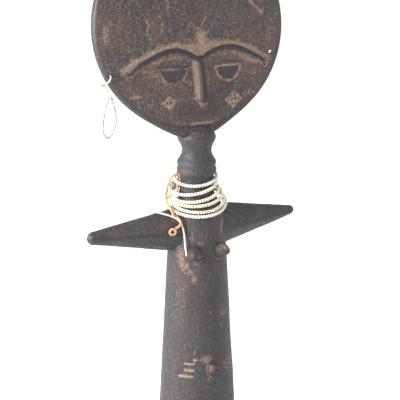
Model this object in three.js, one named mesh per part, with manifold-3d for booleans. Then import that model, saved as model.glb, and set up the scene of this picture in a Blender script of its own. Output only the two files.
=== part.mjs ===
// Fertility doll: a one-piece carved wooden figure with a disc head and stub arms, six strands of
// glass seed beads at its neck bound by a cotton tie, a loose thread, and a beaded loop in one ear.
// Millimetres, +Z up. The origin is the centre of the flat base, and the doll faces -Y.
import * as THREE from "three";
import { mergeVertices } from "three/addons/utils/BufferGeometryUtils.js";
import Module from "manifold-3d";

const wasm = await Module();
wasm.setup();

const DEG = Math.PI / 180;

// Body: radii and heights of the torso and neck, from the base up.
const BASE_R = 27;
const HIP_R = 25;
const HIP_Z = 38;
const WAIST_R = 19.2;
const WAIST_Z = 142;
const SHOULDER_R = 17.1;
const SHOULDER_Z = 170;
const NECK_R = 10.5;
const NECK_Z = 190;
const COLLAR_R = 12.8;
const COLLAR_Z = 199.2;
const BULGE_R = 12.4;
const BULGE_Z = 203;
const THROAT_R = 9.3;
const THROAT_Z = 212;
const FLARE_R = 12.1;
const FLARE_Z = 219.5;
const FLARE_TOP = 10;
const BODY_SIDES = 32;

// The neck's spread over NECK_R at each height from NECK_Z, and the rounding of the shoulder, collar and flare.
const NECK_SPREAD = [
  [1.3, -8],
  [0.3, -4],
  [0, 0],
  [0.2, 4.5],
];
const NECK_FOOT_DROP = 11.7;
const SHOULDER_ROUND = [0.9, 5];
const COLLAR_ROUND = [0.6, 2.2];
const BULGE_WAIST = 0.5;
const THROAT_DROP = 1;
const FLARE_ROUND = 1.1;

// Head: a leaning disc, domed on both faces, whose outline runs out to a rounded chin.
const HEAD_R = 64;
const CHIN_DROP = 6;
const CHIN_SPREAD = 18.5;
const HEAD_LEAN = 8;
const RIM_HALF = 3.7;
const FACE_DOME = 4.3;
const BACK_DOME = 2.2;
const HEAD_X = -2.7;
const HEAD_FORWARD = 4;
const CHIN_Z = FLARE_Z + 0.3;
const HEAD_SIDES = 56;

// Face, in the head's own frame: the centre line stands a little to the doll's left.
const FACE_X = 2.6;
const RIDGE_R = 1.5;
const BROW_FOOT = [3.5, -19];
const BROW_BENDS = [
  [12, -11.5],
  [30, -13],
];
const BROW_TIP = [46.5, -25.4];
const NOSE_TOP = -18;
const NOSE_END = -46;
const NOSE_HALF_W = 2.6;
const EAR_HOLE_R = 1.1;
const EAR_HOLE = { turn: 205.05, inset: 3.07 };
const BARE_EAR_HOLE = { turn: -20.13, inset: 5.31 };

// Arms: tapered, ridged and raised a little. The doll's right arm is the longer one.
const ARM_Z = 160;
const ARM_ROOT_R = 14.1;
const ARM_ROOT_X = 17;
const ARM_START = 6;
const ARM_DEPTH = 0.85;
const ARM_RAISE = 2;
const ARM_RIDGE = 0.1;
const ARMS = [
  { side: -1, length: 75, tip: 4.4 },
  { side: 1, length: 70, tip: 3.4 },
];

// Breasts, navel and the short grooves on each side of it.
const BREAST_X = 9;
const BREAST_Z = 149.5;
const BREAST_R = 4.7;
const BREAST_OUT = 7;
const NAVEL_Z = 71;
const NAVEL_R = 3.2;
const NAVEL_OUT = 4;
const DIMPLE_R = 1.2;
const GROOVE_W = 1.2;
const GROOVE_LENGTH = 7;
const GROOVE_DEEP = 1;
const GROOVE_PITCH = 4.3;
const GROOVE_TURN = 38;
const GROOVE_COUNT = 3;

// Neck strands from the top down: each ring's centre across and back from the neck's axis and its height,
// its reach out from the neck in bead diameters, and its forward and side tilts.
const BEAD_R = 1.15;
const BORE_R = 0.55;
const THREAD_R = 0.22;
const STRAND_KNOT_R = 0.95;
const STRAND_GAP = 3.4;
const STRAND_STEPS = 24;
const STRANDS = [
  { across: -0.4, back: 0.9, z: 193.6, out: 1.26, forward: 9.5, side: 6.9 },
  { across: -2.6, back: 0.6, z: 188.8, out: 1.96, forward: 5.6, side: 10.7 },
  { across: -2.5, back: -1.6, z: 185.1, out: 2.17, forward: 8.0, side: 9.5 },
  { across: -2.7, back: -1.0, z: 183.6, out: 3.17, forward: 11.4, side: 4.6 },
  { across: -1.1, back: -0.9, z: 179.9, out: 3.04, forward: 14.7, side: 2.4 },
  { across: -1.0, back: 0.4, z: 178.4, out: 3.96, forward: 17.0, side: 2.5 },
];

// Cotton cord: a loop round all six strands at the front left, and its tail with an open curl. Its points
// are turns round the neck from the front, reaches out from the neck in bead diameters, and heights, so
// that it stays round the strands.
const TIE_R = 0.75;
const TIE_LOOP = [
  [-66.2, 5.13, 173.4],
  [-69.2, 5.25, 176],
  [-74.4, 5.28, 178.5],
  [-80.3, 5.49, 181.1],
  [-86.2, 5.2, 183.8],
  [-92.2, 4.53, 185.9],
  [-97.6, 3.99, 188],
  [-101.9, 3.43, 190.1],
  [-104.4, 2.93, 192.2],
  [-105.8, 2.44, 194.4],
  [-106.5, 1.56, 195.5],
  [-107.8, 0.69, 194.6],
  [-107.4, 0.67, 190.4],
  [-102, 0.86, 188.4],
  [-95.8, 1.07, 186.3],
  [-89.2, 1.35, 184.1],
  [-82.4, 1.66, 181.8],
  [-76.6, 2, 179.6],
  [-71.6, 2.45, 177.2],
  [-68.6, 3.05, 175],
  [-66.5, 3.4, 172.7],
  [-65.4, 4.33, 172.1],
];
const TIE_LOOP_STEPS = 48;
const TIE_TAIL = [
  [-64.7, 4.28, 172],
  [-60.5, 4.18, 171.2],
  [-55.4, 4.31, 169.9],
  [-54, 4.31, 168.2],
  [-55.5, 4.88, 166.6],
  [-59.8, 5.8, 164.8],
];
const TIE_TAIL_STEPS = 8;
const CURL_R = 2.1;
const CURL_TURN = 12;
const CURL_FALL = 35;

// White thread from behind the strands, over the doll's right shoulder and down its chest, by turns,
// reaches and heights like the cord's.
const WHITE_R = 0.6;
const WHITE_THREAD = [
  [-123.1, 3.07, 173.6],
  [-112.2, 4.64, 170.2],
  [-107.5, 6.01, 170.3],
  [-102.3, 7.09, 171.3],
  [-97, 7.96, 172.7],
  [-91.8, 8.14, 173.7],
  [-87.7, 7.4, 173.7],
  [-78.9, 5.85, 172.8],
  [-72.3, 4.61, 171.6],
  [-65.8, 3.92, 170.4],
  [-59.5, 3.66, 168.7],
  [-53.7, 3.8, 166.3],
  [-48.9, 4.03, 161.6],
  [-45.8, 4.35, 153.8],
  [-42.3, 4.67, 147.3],
];
const WHITE_STEPS = 32;

// Ear ornament: a tie through the hole and round the rim, a stem, and a loop of tiny beads. The points of
// the stem and the loop are measured from the middle of the tie's knot.
const EAR_TIE_R = 0.5;
const EAR_TIE_FALL = 63;
const EAR_TIE_OUT = 5;
const EAR_TIE_PROUD = 0.8;
const EAR_KNOT_R = 1.5;
const STEM_R = 0.6;
const STEM = [
  [1.62, -0.01, -1.78],
  [2.02, -0.01, -4.08],
  [2.62, -0.01, -6.38],
];
const TINY_BEAD_R = 0.65;
const TINY_BORE_R = 0.42;
const LOOP_THREAD_R = 0.15;
const LOOP_THREAD_PROUD = 0.5;
const EAR_LOOP = [
  [2.22, -0.01, -7.28],
  [1.82, -0.01, -9.68],
  [1.12, -0.01, -12.28],
  [0.22, -0.01, -15.28],
  [-0.68, -0.01, -18.48],
  [-1.48, -0.01, -22.78],
  [-1.78, -0.01, -27.08],
  [-1.08, -0.01, -30.88],
  [1.12, -0.01, -33.18],
  [3.42, -0.01, -32.08],
  [5.32, -0.01, -29.08],
  [6.62, -0.01, -24.88],
  [6.92, -0.01, -21.28],
  [6.42, -0.01, -16.78],
  [5.42, -0.01, -12.28],
  [4.02, -0.01, -7.58],
];
const EAR_LOOP_STEPS = 28;

const wood = new THREE.MeshStandardMaterial({ color: 0x574d49, roughness: 0.6 });
const glassBeads = new THREE.MeshStandardMaterial({ color: 0xf1ead8, roughness: 0.25 });
const tinyBeads = new THREE.MeshStandardMaterial({ color: 0xd8d6e2, roughness: 0.2 });
const creamThread = new THREE.MeshStandardMaterial({ color: 0xe8dcc0, roughness: 0.9 });
const whiteThread = new THREE.MeshStandardMaterial({ color: 0xf2efe8, roughness: 0.9 });
const tanCord = new THREE.MeshStandardMaterial({ color: 0xc98a55, roughness: 0.9 });

const root = new THREE.Group();

// A closed geometry as a solid that can be joined and cut.
function toSolid(geometry) {
  const plain = geometry.index ? geometry.toNonIndexed() : geometry.clone();
  plain.deleteAttribute("normal");
  plain.deleteAttribute("uv");
  const merged = mergeVertices(plain, 1e-4);
  const vertProperties = merged.attributes.position.array;
  const triVerts = new Uint32Array(merged.index.array);
  return new wasm.Manifold(new wasm.Mesh({ numProp: 3, vertProperties, triVerts }));
}

// A joined solid as a geometry.
function toGeometry(solid) {
  const mesh = solid.getMesh();
  const geometry = new THREE.BufferGeometry();
  geometry.setAttribute("position", new THREE.BufferAttribute(mesh.vertProperties, 3));
  geometry.setIndex(new THREE.BufferAttribute(mesh.triVerts, 1));
  geometry.computeVertexNormals();
  return geometry;
}

function join(geometries) {
  return geometries.map(toSolid).reduce((whole, piece) => whole.add(piece));
}

function addMesh(parent, name, geometry, material) {
  const mesh = new THREE.Mesh(geometry, material);
  mesh.name = name;
  parent.add(mesh);
  return mesh;
}

// A regular polygon of a tube's section, with a bore where one is given.
function roundSection(radius, sides, bore) {
  const corner = (r, count, i) => {
    const angle = (2 * Math.PI * i) / count;
    return new THREE.Vector2(r * Math.cos(angle), r * Math.sin(angle));
  };
  const ring = (r, count) => Array.from({ length: count }, (_, i) => corner(r, count, i));
  const section = new THREE.Shape(ring(radius, sides));
  if (bore) section.holes.push(new THREE.Path(ring(bore, 6)));
  return section;
}

function tube(path, section, steps) {
  return new THREE.ExtrudeGeometry(section, { steps, extrudePath: path, bevelEnabled: false });
}

function pathThrough(points, closed = false) {
  return new THREE.CatmullRomCurve3(points.map((p) => new THREE.Vector3(...p)), closed, "centripetal");
}

// A point of the cord or thread from its turn, reach and height about the neck.
function aboutNeck([turn, out, z]) {
  const reach = NECK_R + out * 2 * BEAD_R;
  const angle = turn * DEG;
  return [reach * Math.sin(angle), -reach * Math.cos(angle), z];
}

// The circular arc of a strand in its ring's own plane, open at the back by a given length.
class StrandArc extends THREE.Curve {
  constructor(radius, gap) {
    super();
    this.radius = radius;
    this.half = gap / (2 * radius);
  }

  getPoint(t, target = new THREE.Vector3()) {
    const angle = Math.PI / 2 + this.half + t * 2 * (Math.PI - this.half);
    return target.set(this.radius * Math.cos(angle), this.radius * Math.sin(angle), 0);
  }
}

// The head's own frame: X across, Y up the disc, Z out of the face, from the disc's centre.
function headFrame() {
  const lean = HEAD_LEAN * DEG;
  const across = new THREE.Vector3(1, 0, 0);
  const up = new THREE.Vector3(0, Math.sin(lean), Math.cos(lean));
  const out = new THREE.Vector3().crossVectors(across, up);
  const centre = new THREE.Vector3(HEAD_X, -HEAD_FORWARD, CHIN_Z);
  centre.addScaledVector(up, HEAD_R + CHIN_DROP);
  return new THREE.Matrix4().makeBasis(across, up, out).setPosition(centre);
}

// How far the domed face stands in front of the disc's middle plane.
function faceDepth(x, y) {
  const share = Math.min(Math.hypot(x, y) / HEAD_R, 1);
  return RIM_HALF + FACE_DOME * (1 - share * share);
}

// A flat curve laid on the domed face.
class FaceCurve extends THREE.Curve {
  constructor(flat) {
    super();
    this.flat = flat;
  }

  getPoint(t, target = new THREE.Vector3()) {
    const p = this.flat.getPoint(t);
    return target.set(p.x, p.y, faceDepth(p.x, p.y));
  }
}

function headDisc() {
  const profile = [new THREE.Vector2(0, -RIM_HALF - BACK_DOME)];
  const faceShares = [0.35, 0.65, 0.88];
  for (const s of faceShares) {
    profile.push(new THREE.Vector2(s * HEAD_R, -RIM_HALF - BACK_DOME * (1 - s * s)));
  }
  const rimSteps = 6;
  for (let i = 0; i <= rimSteps; i++) {
    const angle = (i / rimSteps - 0.5) * Math.PI;
    const r = HEAD_R - RIM_HALF * (1 - Math.cos(angle));
    profile.push(new THREE.Vector2(r, RIM_HALF * Math.sin(angle)));
  }
  for (const s of faceShares.reverse()) {
    profile.push(new THREE.Vector2(s * HEAD_R, faceDepth(s * HEAD_R, 0)));
  }
  profile.push(new THREE.Vector2(0, RIM_HALF + FACE_DOME));
  const disc = new THREE.LatheGeometry(profile, HEAD_SIDES).rotateX(Math.PI / 2);
  const points = disc.attributes.position;
  for (let i = 0; i < points.count; i++) {
    const fromChin = Math.abs(Math.atan2(points.getX(i), -points.getY(i))) / DEG;
    const reach = 1 + (CHIN_DROP / HEAD_R) * Math.exp(-((fromChin / CHIN_SPREAD) ** 2));
    points.setXY(i, points.getX(i) * reach, points.getY(i) * reach);
  }
  return disc;
}

function browRidge(side) {
  const place = ([x, y]) => new THREE.Vector2(FACE_X + side * x, y);
  const stops = [BROW_FOOT, ...BROW_BENDS, BROW_TIP].map(place);
  return tube(new FaceCurve(new THREE.CubicBezierCurve(...stops)), roundSection(RIDGE_R, 8), 12);
}

function noseRidge() {
  const long = NOSE_TOP - NOSE_END;
  const middle = (NOSE_TOP + NOSE_END) / 2;
  const nose = new THREE.CylinderGeometry(NOSE_HALF_W * 0.6, NOSE_HALF_W, long, 10);
  return nose.scale(1, 1, 0.9).translate(FACE_X, middle, faceDepth(FACE_X, middle));
}

// An ear hole's place on the disc, from its turn about the centre and its inset from the edge.
function holePlace({ turn, inset }) {
  const reach = HEAD_R - inset;
  return [reach * Math.cos(turn * DEG), reach * Math.sin(turn * DEG)];
}

function earHoleCut(hole) {
  const [x, y] = holePlace(hole);
  const drill = new THREE.CylinderGeometry(EAR_HOLE_R, EAR_HOLE_R, 6 * RIM_HALF, 16);
  return drill.rotateX(Math.PI / 2).translate(x, y, 0);
}

function torsoAndNeck() {
  const profile = [
    [0, 0],
    [BASE_R, 0],
    [HIP_R, HIP_Z],
    [WAIST_R, WAIST_Z],
    [SHOULDER_R, SHOULDER_Z],
    [SHOULDER_R - SHOULDER_ROUND[0], SHOULDER_Z + SHOULDER_ROUND[1]],
    [(SHOULDER_R + NECK_R) / 2, NECK_Z - NECK_FOOT_DROP],
    ...NECK_SPREAD.map(([spread, rise]) => [NECK_R + spread, NECK_Z + rise]),
    [COLLAR_R - COLLAR_ROUND[0], COLLAR_Z - COLLAR_ROUND[1]],
    [COLLAR_R, COLLAR_Z],
    [BULGE_R - BULGE_WAIST, (COLLAR_Z + BULGE_Z) / 2],
    [BULGE_R, BULGE_Z],
    [(BULGE_R + THROAT_R) / 2, (BULGE_Z + THROAT_Z) / 2 - THROAT_DROP],
    [THROAT_R, THROAT_Z],
    [FLARE_R, FLARE_Z],
    [FLARE_R - FLARE_ROUND, FLARE_Z + FLARE_TOP / 3],
    [FLARE_R / 2, FLARE_Z + FLARE_TOP],
    [0, FLARE_Z + FLARE_TOP],
  ];
  const outline = profile.map(([r, z]) => new THREE.Vector2(r, z));
  return new THREE.LatheGeometry(outline, BODY_SIDES).rotateX(Math.PI / 2);
}

function arm({ side, length, tip }) {
  const slope = (ARM_ROOT_R - tip) / (length - tip - ARM_ROOT_X);
  const profile = [new THREE.Vector2(0, ARM_START)];
  profile.push(new THREE.Vector2(ARM_ROOT_R + slope * (ARM_ROOT_X - ARM_START), ARM_START));
  profile.push(new THREE.Vector2(ARM_ROOT_R, ARM_ROOT_X));
  const tipSteps = 3;
  for (let i = 0; i <= tipSteps; i++) {
    const angle = (i / tipSteps) * (Math.PI / 2);
    const r = i === tipSteps ? 0 : tip * Math.cos(angle);
    profile.push(new THREE.Vector2(r, length - tip + tip * Math.sin(angle)));
  }
  const limb = new THREE.LatheGeometry(profile, 16);
  const points = limb.attributes.position;
  for (let i = 0; i < points.count; i++) {
    const round = Math.sin(2 * Math.atan2(points.getX(i), points.getZ(i)));
    const share = 1 - ARM_RIDGE * round * round;
    points.setX(i, points.getX(i) * share * ARM_DEPTH);
    points.setZ(i, points.getZ(i) * share);
  }
  limb.rotateZ((-side * Math.PI) / 2).rotateY(-side * ARM_RAISE * DEG);
  return limb.translate(0, 0, ARM_Z);
}

// The torso's radius at a height between the hip and the waist, or the waist and the shoulder.
function torsoRadius(z) {
  const [low, high] = z < WAIST_Z ? [HIP_Z, WAIST_Z] : [WAIST_Z, SHOULDER_Z];
  const [from, to] = z < WAIST_Z ? [HIP_R, WAIST_R] : [WAIST_R, SHOULDER_R];
  return from + ((to - from) * (z - low)) / (high - low);
}

// Turns a geometry that points along -Y round the torso and seats it in the surface.
function seatOnTorso(geometry, turn, z, sink) {
  return geometry.translate(0, sink - torsoRadius(z), 0).rotateZ(turn).translate(0, 0, z);
}

function breast(side) {
  const outline = [
    [0, -2],
    [BREAST_R, -2],
    [BREAST_R, 0.6],
    [BREAST_R * 0.8, BREAST_OUT * 0.5],
    [BREAST_R * 0.35, BREAST_OUT * 0.92],
    [0, BREAST_OUT],
  ];
  const cone = new THREE.LatheGeometry(outline.map((p) => new THREE.Vector2(...p)), 14);
  cone.rotateX(Math.PI / 2 + 8 * DEG);
  const turn = side * Math.asin(BREAST_X / torsoRadius(BREAST_Z));
  return seatOnTorso(cone, turn, BREAST_Z, 0.5);
}

function navelKnob() {
  const knob = new THREE.SphereGeometry(NAVEL_R, 14, 10).scale(1, NAVEL_OUT / NAVEL_R, 1);
  return seatOnTorso(knob, 0, NAVEL_Z, 0);
}

function navelDimple() {
  const dimple = new THREE.SphereGeometry(DIMPLE_R, 10, 8);
  return seatOnTorso(dimple, 0, NAVEL_Z, -NAVEL_OUT - DIMPLE_R / 3);
}

function groove(side, row) {
  const z = NAVEL_Z + (1 - row) * GROOVE_PITCH;
  const cut = new THREE.BoxGeometry(GROOVE_LENGTH, 2 * GROOVE_DEEP, GROOVE_W);
  return seatOnTorso(cut, side * GROOVE_TURN * DEG, z, 0);
}

function addCarvedFigure() {
  const sides = [-1, 1];
  const head = headFrame();
  const headPieces = [headDisc(), noseRidge(), ...sides.map(browRidge)];
  const pieces = [torsoAndNeck(), navelKnob(), ...ARMS.map(arm), ...sides.map(breast)];
  const cuts = [navelDimple()];
  for (const side of sides) {
    for (let row = 0; row < GROOVE_COUNT; row++) cuts.push(groove(side, row));
  }
  for (const hole of [EAR_HOLE, BARE_EAR_HOLE]) cuts.push(earHoleCut(hole).applyMatrix4(head));
  const whole = join([...headPieces.map((piece) => piece.applyMatrix4(head)), ...pieces]);
  const carved = cuts.reduce((left, cut) => left.subtract(toSolid(cut)), whole);
  addMesh(root, "carved_figure", toGeometry(carved), wood);
}

// One strand: the run of beads as a bored ring, and the thread that closes in a knot at the back.
function addStrand({ across, back, z, out, forward, side }, number) {
  const r = NECK_R + out * 2 * BEAD_R;
  const strand = new THREE.Group();
  strand.position.set(across, back, z);
  strand.rotation.set(forward * DEG, -side * DEG, 0, "YXZ");
  root.add(strand);
  const beads = tube(new StrandArc(r, STRAND_GAP), roundSection(BEAD_R, 8, BORE_R), STRAND_STEPS);
  addMesh(strand, `neck_beads_${number}`, beads, glassBeads);
  const knot = new THREE.SphereGeometry(STRAND_KNOT_R, 8, 6).translate(0, r, 0);
  const run = tube(new StrandArc(r, STRAND_KNOT_R), roundSection(THREAD_R, 6), STRAND_STEPS);
  addMesh(strand, `neck_thread_${number}`, toGeometry(join([run, knot])), creamThread);
}

function addBundleTie() {
  const loop = new THREE.TubeGeometry(pathThrough(TIE_LOOP.map(aboutNeck), true), TIE_LOOP_STEPS, TIE_R, 8, true);
  const tail = tube(pathThrough(TIE_TAIL.map(aboutNeck)), roundSection(TIE_R, 8), TIE_TAIL_STEPS);
  const [x, y, z] = aboutNeck(TIE_TAIL.at(-1));
  const curl = new THREE.TorusGeometry(CURL_R, TIE_R, 8, 14).rotateX(Math.PI / 2);
  const fall = CURL_FALL * DEG;
  curl.rotateZ(-CURL_TURN * DEG).translate(x - CURL_R * Math.cos(fall), y, z - CURL_R * Math.sin(fall));
  addMesh(root, "bundle_tie", toGeometry(join([loop, tail, curl])), tanCord);
}

function addWhiteThread() {
  const run = tube(pathThrough(WHITE_THREAD.map(aboutNeck)), roundSection(WHITE_R, 8), WHITE_STEPS);
  addMesh(root, "white_thread", run, whiteThread);
}

// A point of the ear tie: out from the hole past the rim, and in front of the disc's middle plane.
function tiePlace(out, depth) {
  const fall = EAR_TIE_FALL * DEG;
  const [x, y] = holePlace(EAR_HOLE);
  return [x - out * Math.cos(fall), y - out * Math.sin(fall), depth];
}

const EAR_KNOT = tiePlace(EAR_TIE_OUT + EAR_KNOT_R - EAR_TIE_R, 0);

// The tie's loop lies in a plane square to the disc.
function addEarTie() {
  const front = faceDepth(...holePlace(EAR_HOLE)) + EAR_TIE_R + EAR_TIE_PROUD;
  const half = [
    [0, 0.75],
    [0.26, 1],
    [0.7, 0.88],
    [0.98, 0.4],
  ];
  const stops = [tiePlace(0, 0)];
  for (const [out, depth] of half) stops.push(tiePlace(out * EAR_TIE_OUT, depth * front));
  stops.push(tiePlace(EAR_TIE_OUT, 0));
  for (const [out, depth] of half.reverse()) stops.push(tiePlace(out * EAR_TIE_OUT, -depth * front));
  const loop = new THREE.TubeGeometry(pathThrough(stops, true), 28, EAR_TIE_R, 8, true);
  const knot = new THREE.SphereGeometry(EAR_KNOT_R, 10, 8);
  knot.translate(...EAR_KNOT);
  const tied = join([loop, knot].map((piece) => piece.applyMatrix4(headFrame())));
  addMesh(root, "ear_tie", toGeometry(tied), creamThread);
}

function addEarLoop() {
  const knot = new THREE.Vector3(...EAR_KNOT).applyMatrix4(headFrame());
  const ornament = new THREE.Group();
  ornament.position.copy(knot);
  root.add(ornament);
  const stem = tube(pathThrough(STEM), roundSection(STEM_R, 8), 4);
  addMesh(ornament, "ear_stem", stem, creamThread);
  const path = pathThrough(EAR_LOOP);
  const beads = tube(path, roundSection(TINY_BEAD_R, 8, TINY_BORE_R), EAR_LOOP_STEPS);
  addMesh(ornament, "ear_loop_beads", beads, tinyBeads);
  const ends = [EAR_LOOP[0], EAR_LOOP.at(-1)].map(([x, y, z]) => [x, y, z + LOOP_THREAD_PROUD]);
  const threadPath = pathThrough([ends[0], ...EAR_LOOP, ends[1]]);
  const thread = tube(threadPath, roundSection(LOOP_THREAD_R, 6), EAR_LOOP_STEPS + 2);
  addMesh(ornament, "ear_loop_thread", thread, creamThread);
}

addCarvedFigure();
STRANDS.forEach((strand, index) => addStrand(strand, index + 1));
addBundleTie();
addWhiteThread();
addEarTie();
addEarLoop();

export default root;
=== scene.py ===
"""The looks of a carved fertility doll with neck beads and a beaded ear loop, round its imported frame.

The doll stands on the origin with +Z up and faces -Y. Sizes here are in millimetres, in the same frame as
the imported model, and every mesh is scaled to metres as it is made.
"""

import logging
import math
from dataclasses import dataclass, field
from enum import Enum

import bpy
import numpy as np
from mathutils import Matrix, Vector, noise


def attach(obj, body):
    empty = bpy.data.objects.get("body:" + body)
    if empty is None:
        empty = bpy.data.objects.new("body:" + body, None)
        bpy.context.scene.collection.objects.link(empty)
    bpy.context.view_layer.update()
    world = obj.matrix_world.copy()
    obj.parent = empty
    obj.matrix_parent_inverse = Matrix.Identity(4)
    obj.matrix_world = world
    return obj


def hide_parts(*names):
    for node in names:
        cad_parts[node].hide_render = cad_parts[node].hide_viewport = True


MM = 0.001
LOG = logging.getLogger("doll")
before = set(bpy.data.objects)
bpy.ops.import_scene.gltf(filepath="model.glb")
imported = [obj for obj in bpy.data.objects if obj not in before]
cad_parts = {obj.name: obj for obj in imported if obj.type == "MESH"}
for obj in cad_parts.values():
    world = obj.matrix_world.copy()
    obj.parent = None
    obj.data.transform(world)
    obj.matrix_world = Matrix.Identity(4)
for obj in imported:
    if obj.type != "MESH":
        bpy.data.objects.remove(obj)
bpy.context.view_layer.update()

Point = tuple[float, float, float]
Flat = tuple[float, float]


# ---------------------------------------------------------------- small tools


def linear(code: str) -> tuple[float, float, float, float]:
    """Turn an sRGB hex colour into linear RGBA.

    Args:
        code: six hex digits, such as "5a504c".

    Returns:
        The linear red, green and blue, and an alpha of 1.
    """
    parts = [int(code[i : i + 2], 16) / 255 for i in (0, 2, 4)]
    red, green, blue = (c / 12.92 if c <= 0.04045 else ((c + 0.055) / 1.055) ** 2.4 for c in parts)
    return red, green, blue, 1.0


def add_node(
    tree: bpy.types.NodeTree, kind: str, settings: dict | None = None, inputs: dict | None = None
) -> bpy.types.Node:
    """Add a node with its settings, its input values and its incoming links.

    Args:
        tree: the node tree that gets the node.
        kind: the node's type name.
        settings: attribute names and their values.
        inputs: input names or indices, each with a plain value or with the output socket that feeds it.

    Returns:
        The new node.
    """
    node = tree.nodes.new(kind)
    for name, value in (settings or {}).items():
        setattr(node, name, value)
    for key, value in (inputs or {}).items():
        if isinstance(value, bpy.types.NodeSocket):
            tree.links.new(value, node.inputs[key])
        else:
            node.inputs[key].default_value = value
    return node


def soft_step(low: float, high: float, value: np.ndarray) -> np.ndarray:
    """Rise smoothly from 0 at low to 1 at high, or fall where low is above high."""
    share = np.clip((value - low) / (high - low), 0, 1)
    return share * share * (3 - 2 * share)


def noise_at(points: np.ndarray, size: float, seed: float = 0.0) -> np.ndarray:
    """Sample smooth noise at points.

    Args:
        points: an array of positions in millimetres, one row each.
        size: the size in millimetres of the noise's features.
        seed: a shift that gives another field.

    Returns:
        One value from about -1 to 1 for each point.
    """
    shift = Vector((seed, 1.7 * seed, -0.6 * seed))
    return np.array([noise.noise(Vector(p) / size + shift) for p in points])


def distance_to_line(points: np.ndarray, stops: np.ndarray) -> tuple[np.ndarray, np.ndarray]:
    """Measure flat points against a chain of straight runs.

    Args:
        points: an array of (x, y) rows.
        stops: the chain's corners, an array of (x, y) rows.

    Returns:
        Each point's distance to the chain, and its place along it from 0 to 1.
    """
    best = np.full(len(points), np.inf)
    place = np.zeros(len(points))
    runs = np.linalg.norm(np.diff(stops, axis=0), axis=1)
    along = np.concatenate([[0], np.cumsum(runs)])
    for i, run in enumerate(runs):
        way = stops[i + 1] - stops[i]
        share = np.clip(((points - stops[i]) @ way) / max(run * run, 1e-9), 0, 1)
        far = np.linalg.norm(points - stops[i] - share[:, None] * way, axis=1)
        nearer = far < best
        best[nearer] = far[nearer]
        place[nearer] = ((along[i] + share * run) / along[-1])[nearer]
    return best, place


def smooth_path(stops: list[Point], step: float, closed: bool = False) -> np.ndarray:
    """Run a centripetal Catmull-Rom curve through points.

    Args:
        stops: the points in order, in millimetres.
        step: the distance between the points that come back.
        closed: whether the curve returns to its first point.

    Returns:
        Evenly spaced points along the curve; a closed curve's first point isn't repeated.
    """
    p = np.array(stops, float)
    if closed:
        p = np.vstack([p[-1], p, p[:2]])
    else:
        p = np.vstack([2 * p[0] - p[1], p, 2 * p[-1] - p[-2]])
    dense = []
    for a, b, c, d in zip(p, p[1:], p[2:], p[3:]):
        spans = ((a, b), (b, c), (c, d))
        knots = np.cumsum([0] + [math.sqrt(max(np.linalg.norm(y - x), 1e-6)) for x, y in spans])
        for t in np.linspace(knots[1], knots[2], 16, endpoint=False):
            ab = a + (b - a) * (t - knots[0]) / (knots[1] - knots[0])
            bc = b + (c - b) * (t - knots[1]) / (knots[2] - knots[1])
            cd = c + (d - c) * (t - knots[2]) / (knots[3] - knots[2])
            abc = ab + (bc - ab) * (t - knots[0]) / (knots[2] - knots[0])
            bcd = bc + (cd - bc) * (t - knots[1]) / (knots[3] - knots[1])
            dense.append(abc + (bcd - abc) * (t - knots[1]) / (knots[2] - knots[1]))
    dense.append(p[-2])
    line = np.array(dense)
    along = np.concatenate([[0], np.cumsum(np.linalg.norm(np.diff(line, axis=0), axis=1))])
    count = max(4, round(along[-1] / step))
    at = np.linspace(0, along[-1], count + 1)
    even = np.stack([np.interp(at, along, line[:, k]) for k in range(3)], axis=1)
    return even[:-1] if closed else even


@dataclass
class Shape:
    """A mesh in the making: points in millimetres, faces, and one number a point for its tone."""

    points: list = field(default_factory=list)
    faces: list = field(default_factory=list)
    tones: list = field(default_factory=list)

    def add(self, points: np.ndarray, faces: list, tone: float | np.ndarray = 0.0) -> None:
        """Add points and the faces between them.

        Args:
            points: an array of (x, y, z) rows.
            faces: tuples of indices into those points.
            tone: one number for all the points, or one for each.
        """
        first = len(self.points)
        self.points.extend(map(tuple, points))
        self.faces.extend(tuple(first + i for i in face) for face in faces)
        self.tones.extend(np.broadcast_to(tone, len(points)).tolist())

    def to_object(self, name: str, turn: Matrix | None = None) -> bpy.types.Object:
        """Make a Blender object from what was added.

        Args:
            name: the piece's name.
            turn: a matrix in millimetres that places the points.

        Returns:
            The linked object, in metres, with smooth faces and a tone attribute.
        """
        co = np.array(self.points, float)
        if turn is not None:
            placed = np.array(turn)
            co = co @ placed[:3, :3].T + placed[:3, 3]
        mesh = bpy.data.meshes.new(name)
        mesh.from_pydata((co * MM).tolist(), [], self.faces)
        tone = mesh.attributes.new("tone", "FLOAT", "POINT")
        tone.data.foreach_set("value", np.array(self.tones, np.float32))
        mesh.polygons.foreach_set("use_smooth", [True] * len(mesh.polygons))
        mesh.update()
        piece = bpy.data.objects.new(name, mesh)
        bpy.context.scene.collection.objects.link(piece)
        return piece


def skin_rings(rings: int, sides: int, wrap: bool = False) -> list:
    """Join rings of points by quads.

    Args:
        rings: how many rings there are, one after another.
        sides: how many points each ring has.
        wrap: whether the last ring joins the first.

    Returns:
        The faces as tuples of indices.
    """
    faces = []
    for ring in range(rings if wrap else rings - 1):
        near, far = ring * sides, ((ring + 1) % rings) * sides
        for i in range(sides):
            j = (i + 1) % sides
            faces.append((near + i, near + j, far + j, far + i))
    return faces


@dataclass(frozen=True)
class Ply:
    """How a cord is laid up: its yarns, and the length in which they go once round."""

    radius: float
    yarns: int
    lay: float
    depth: float = 0.2


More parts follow.
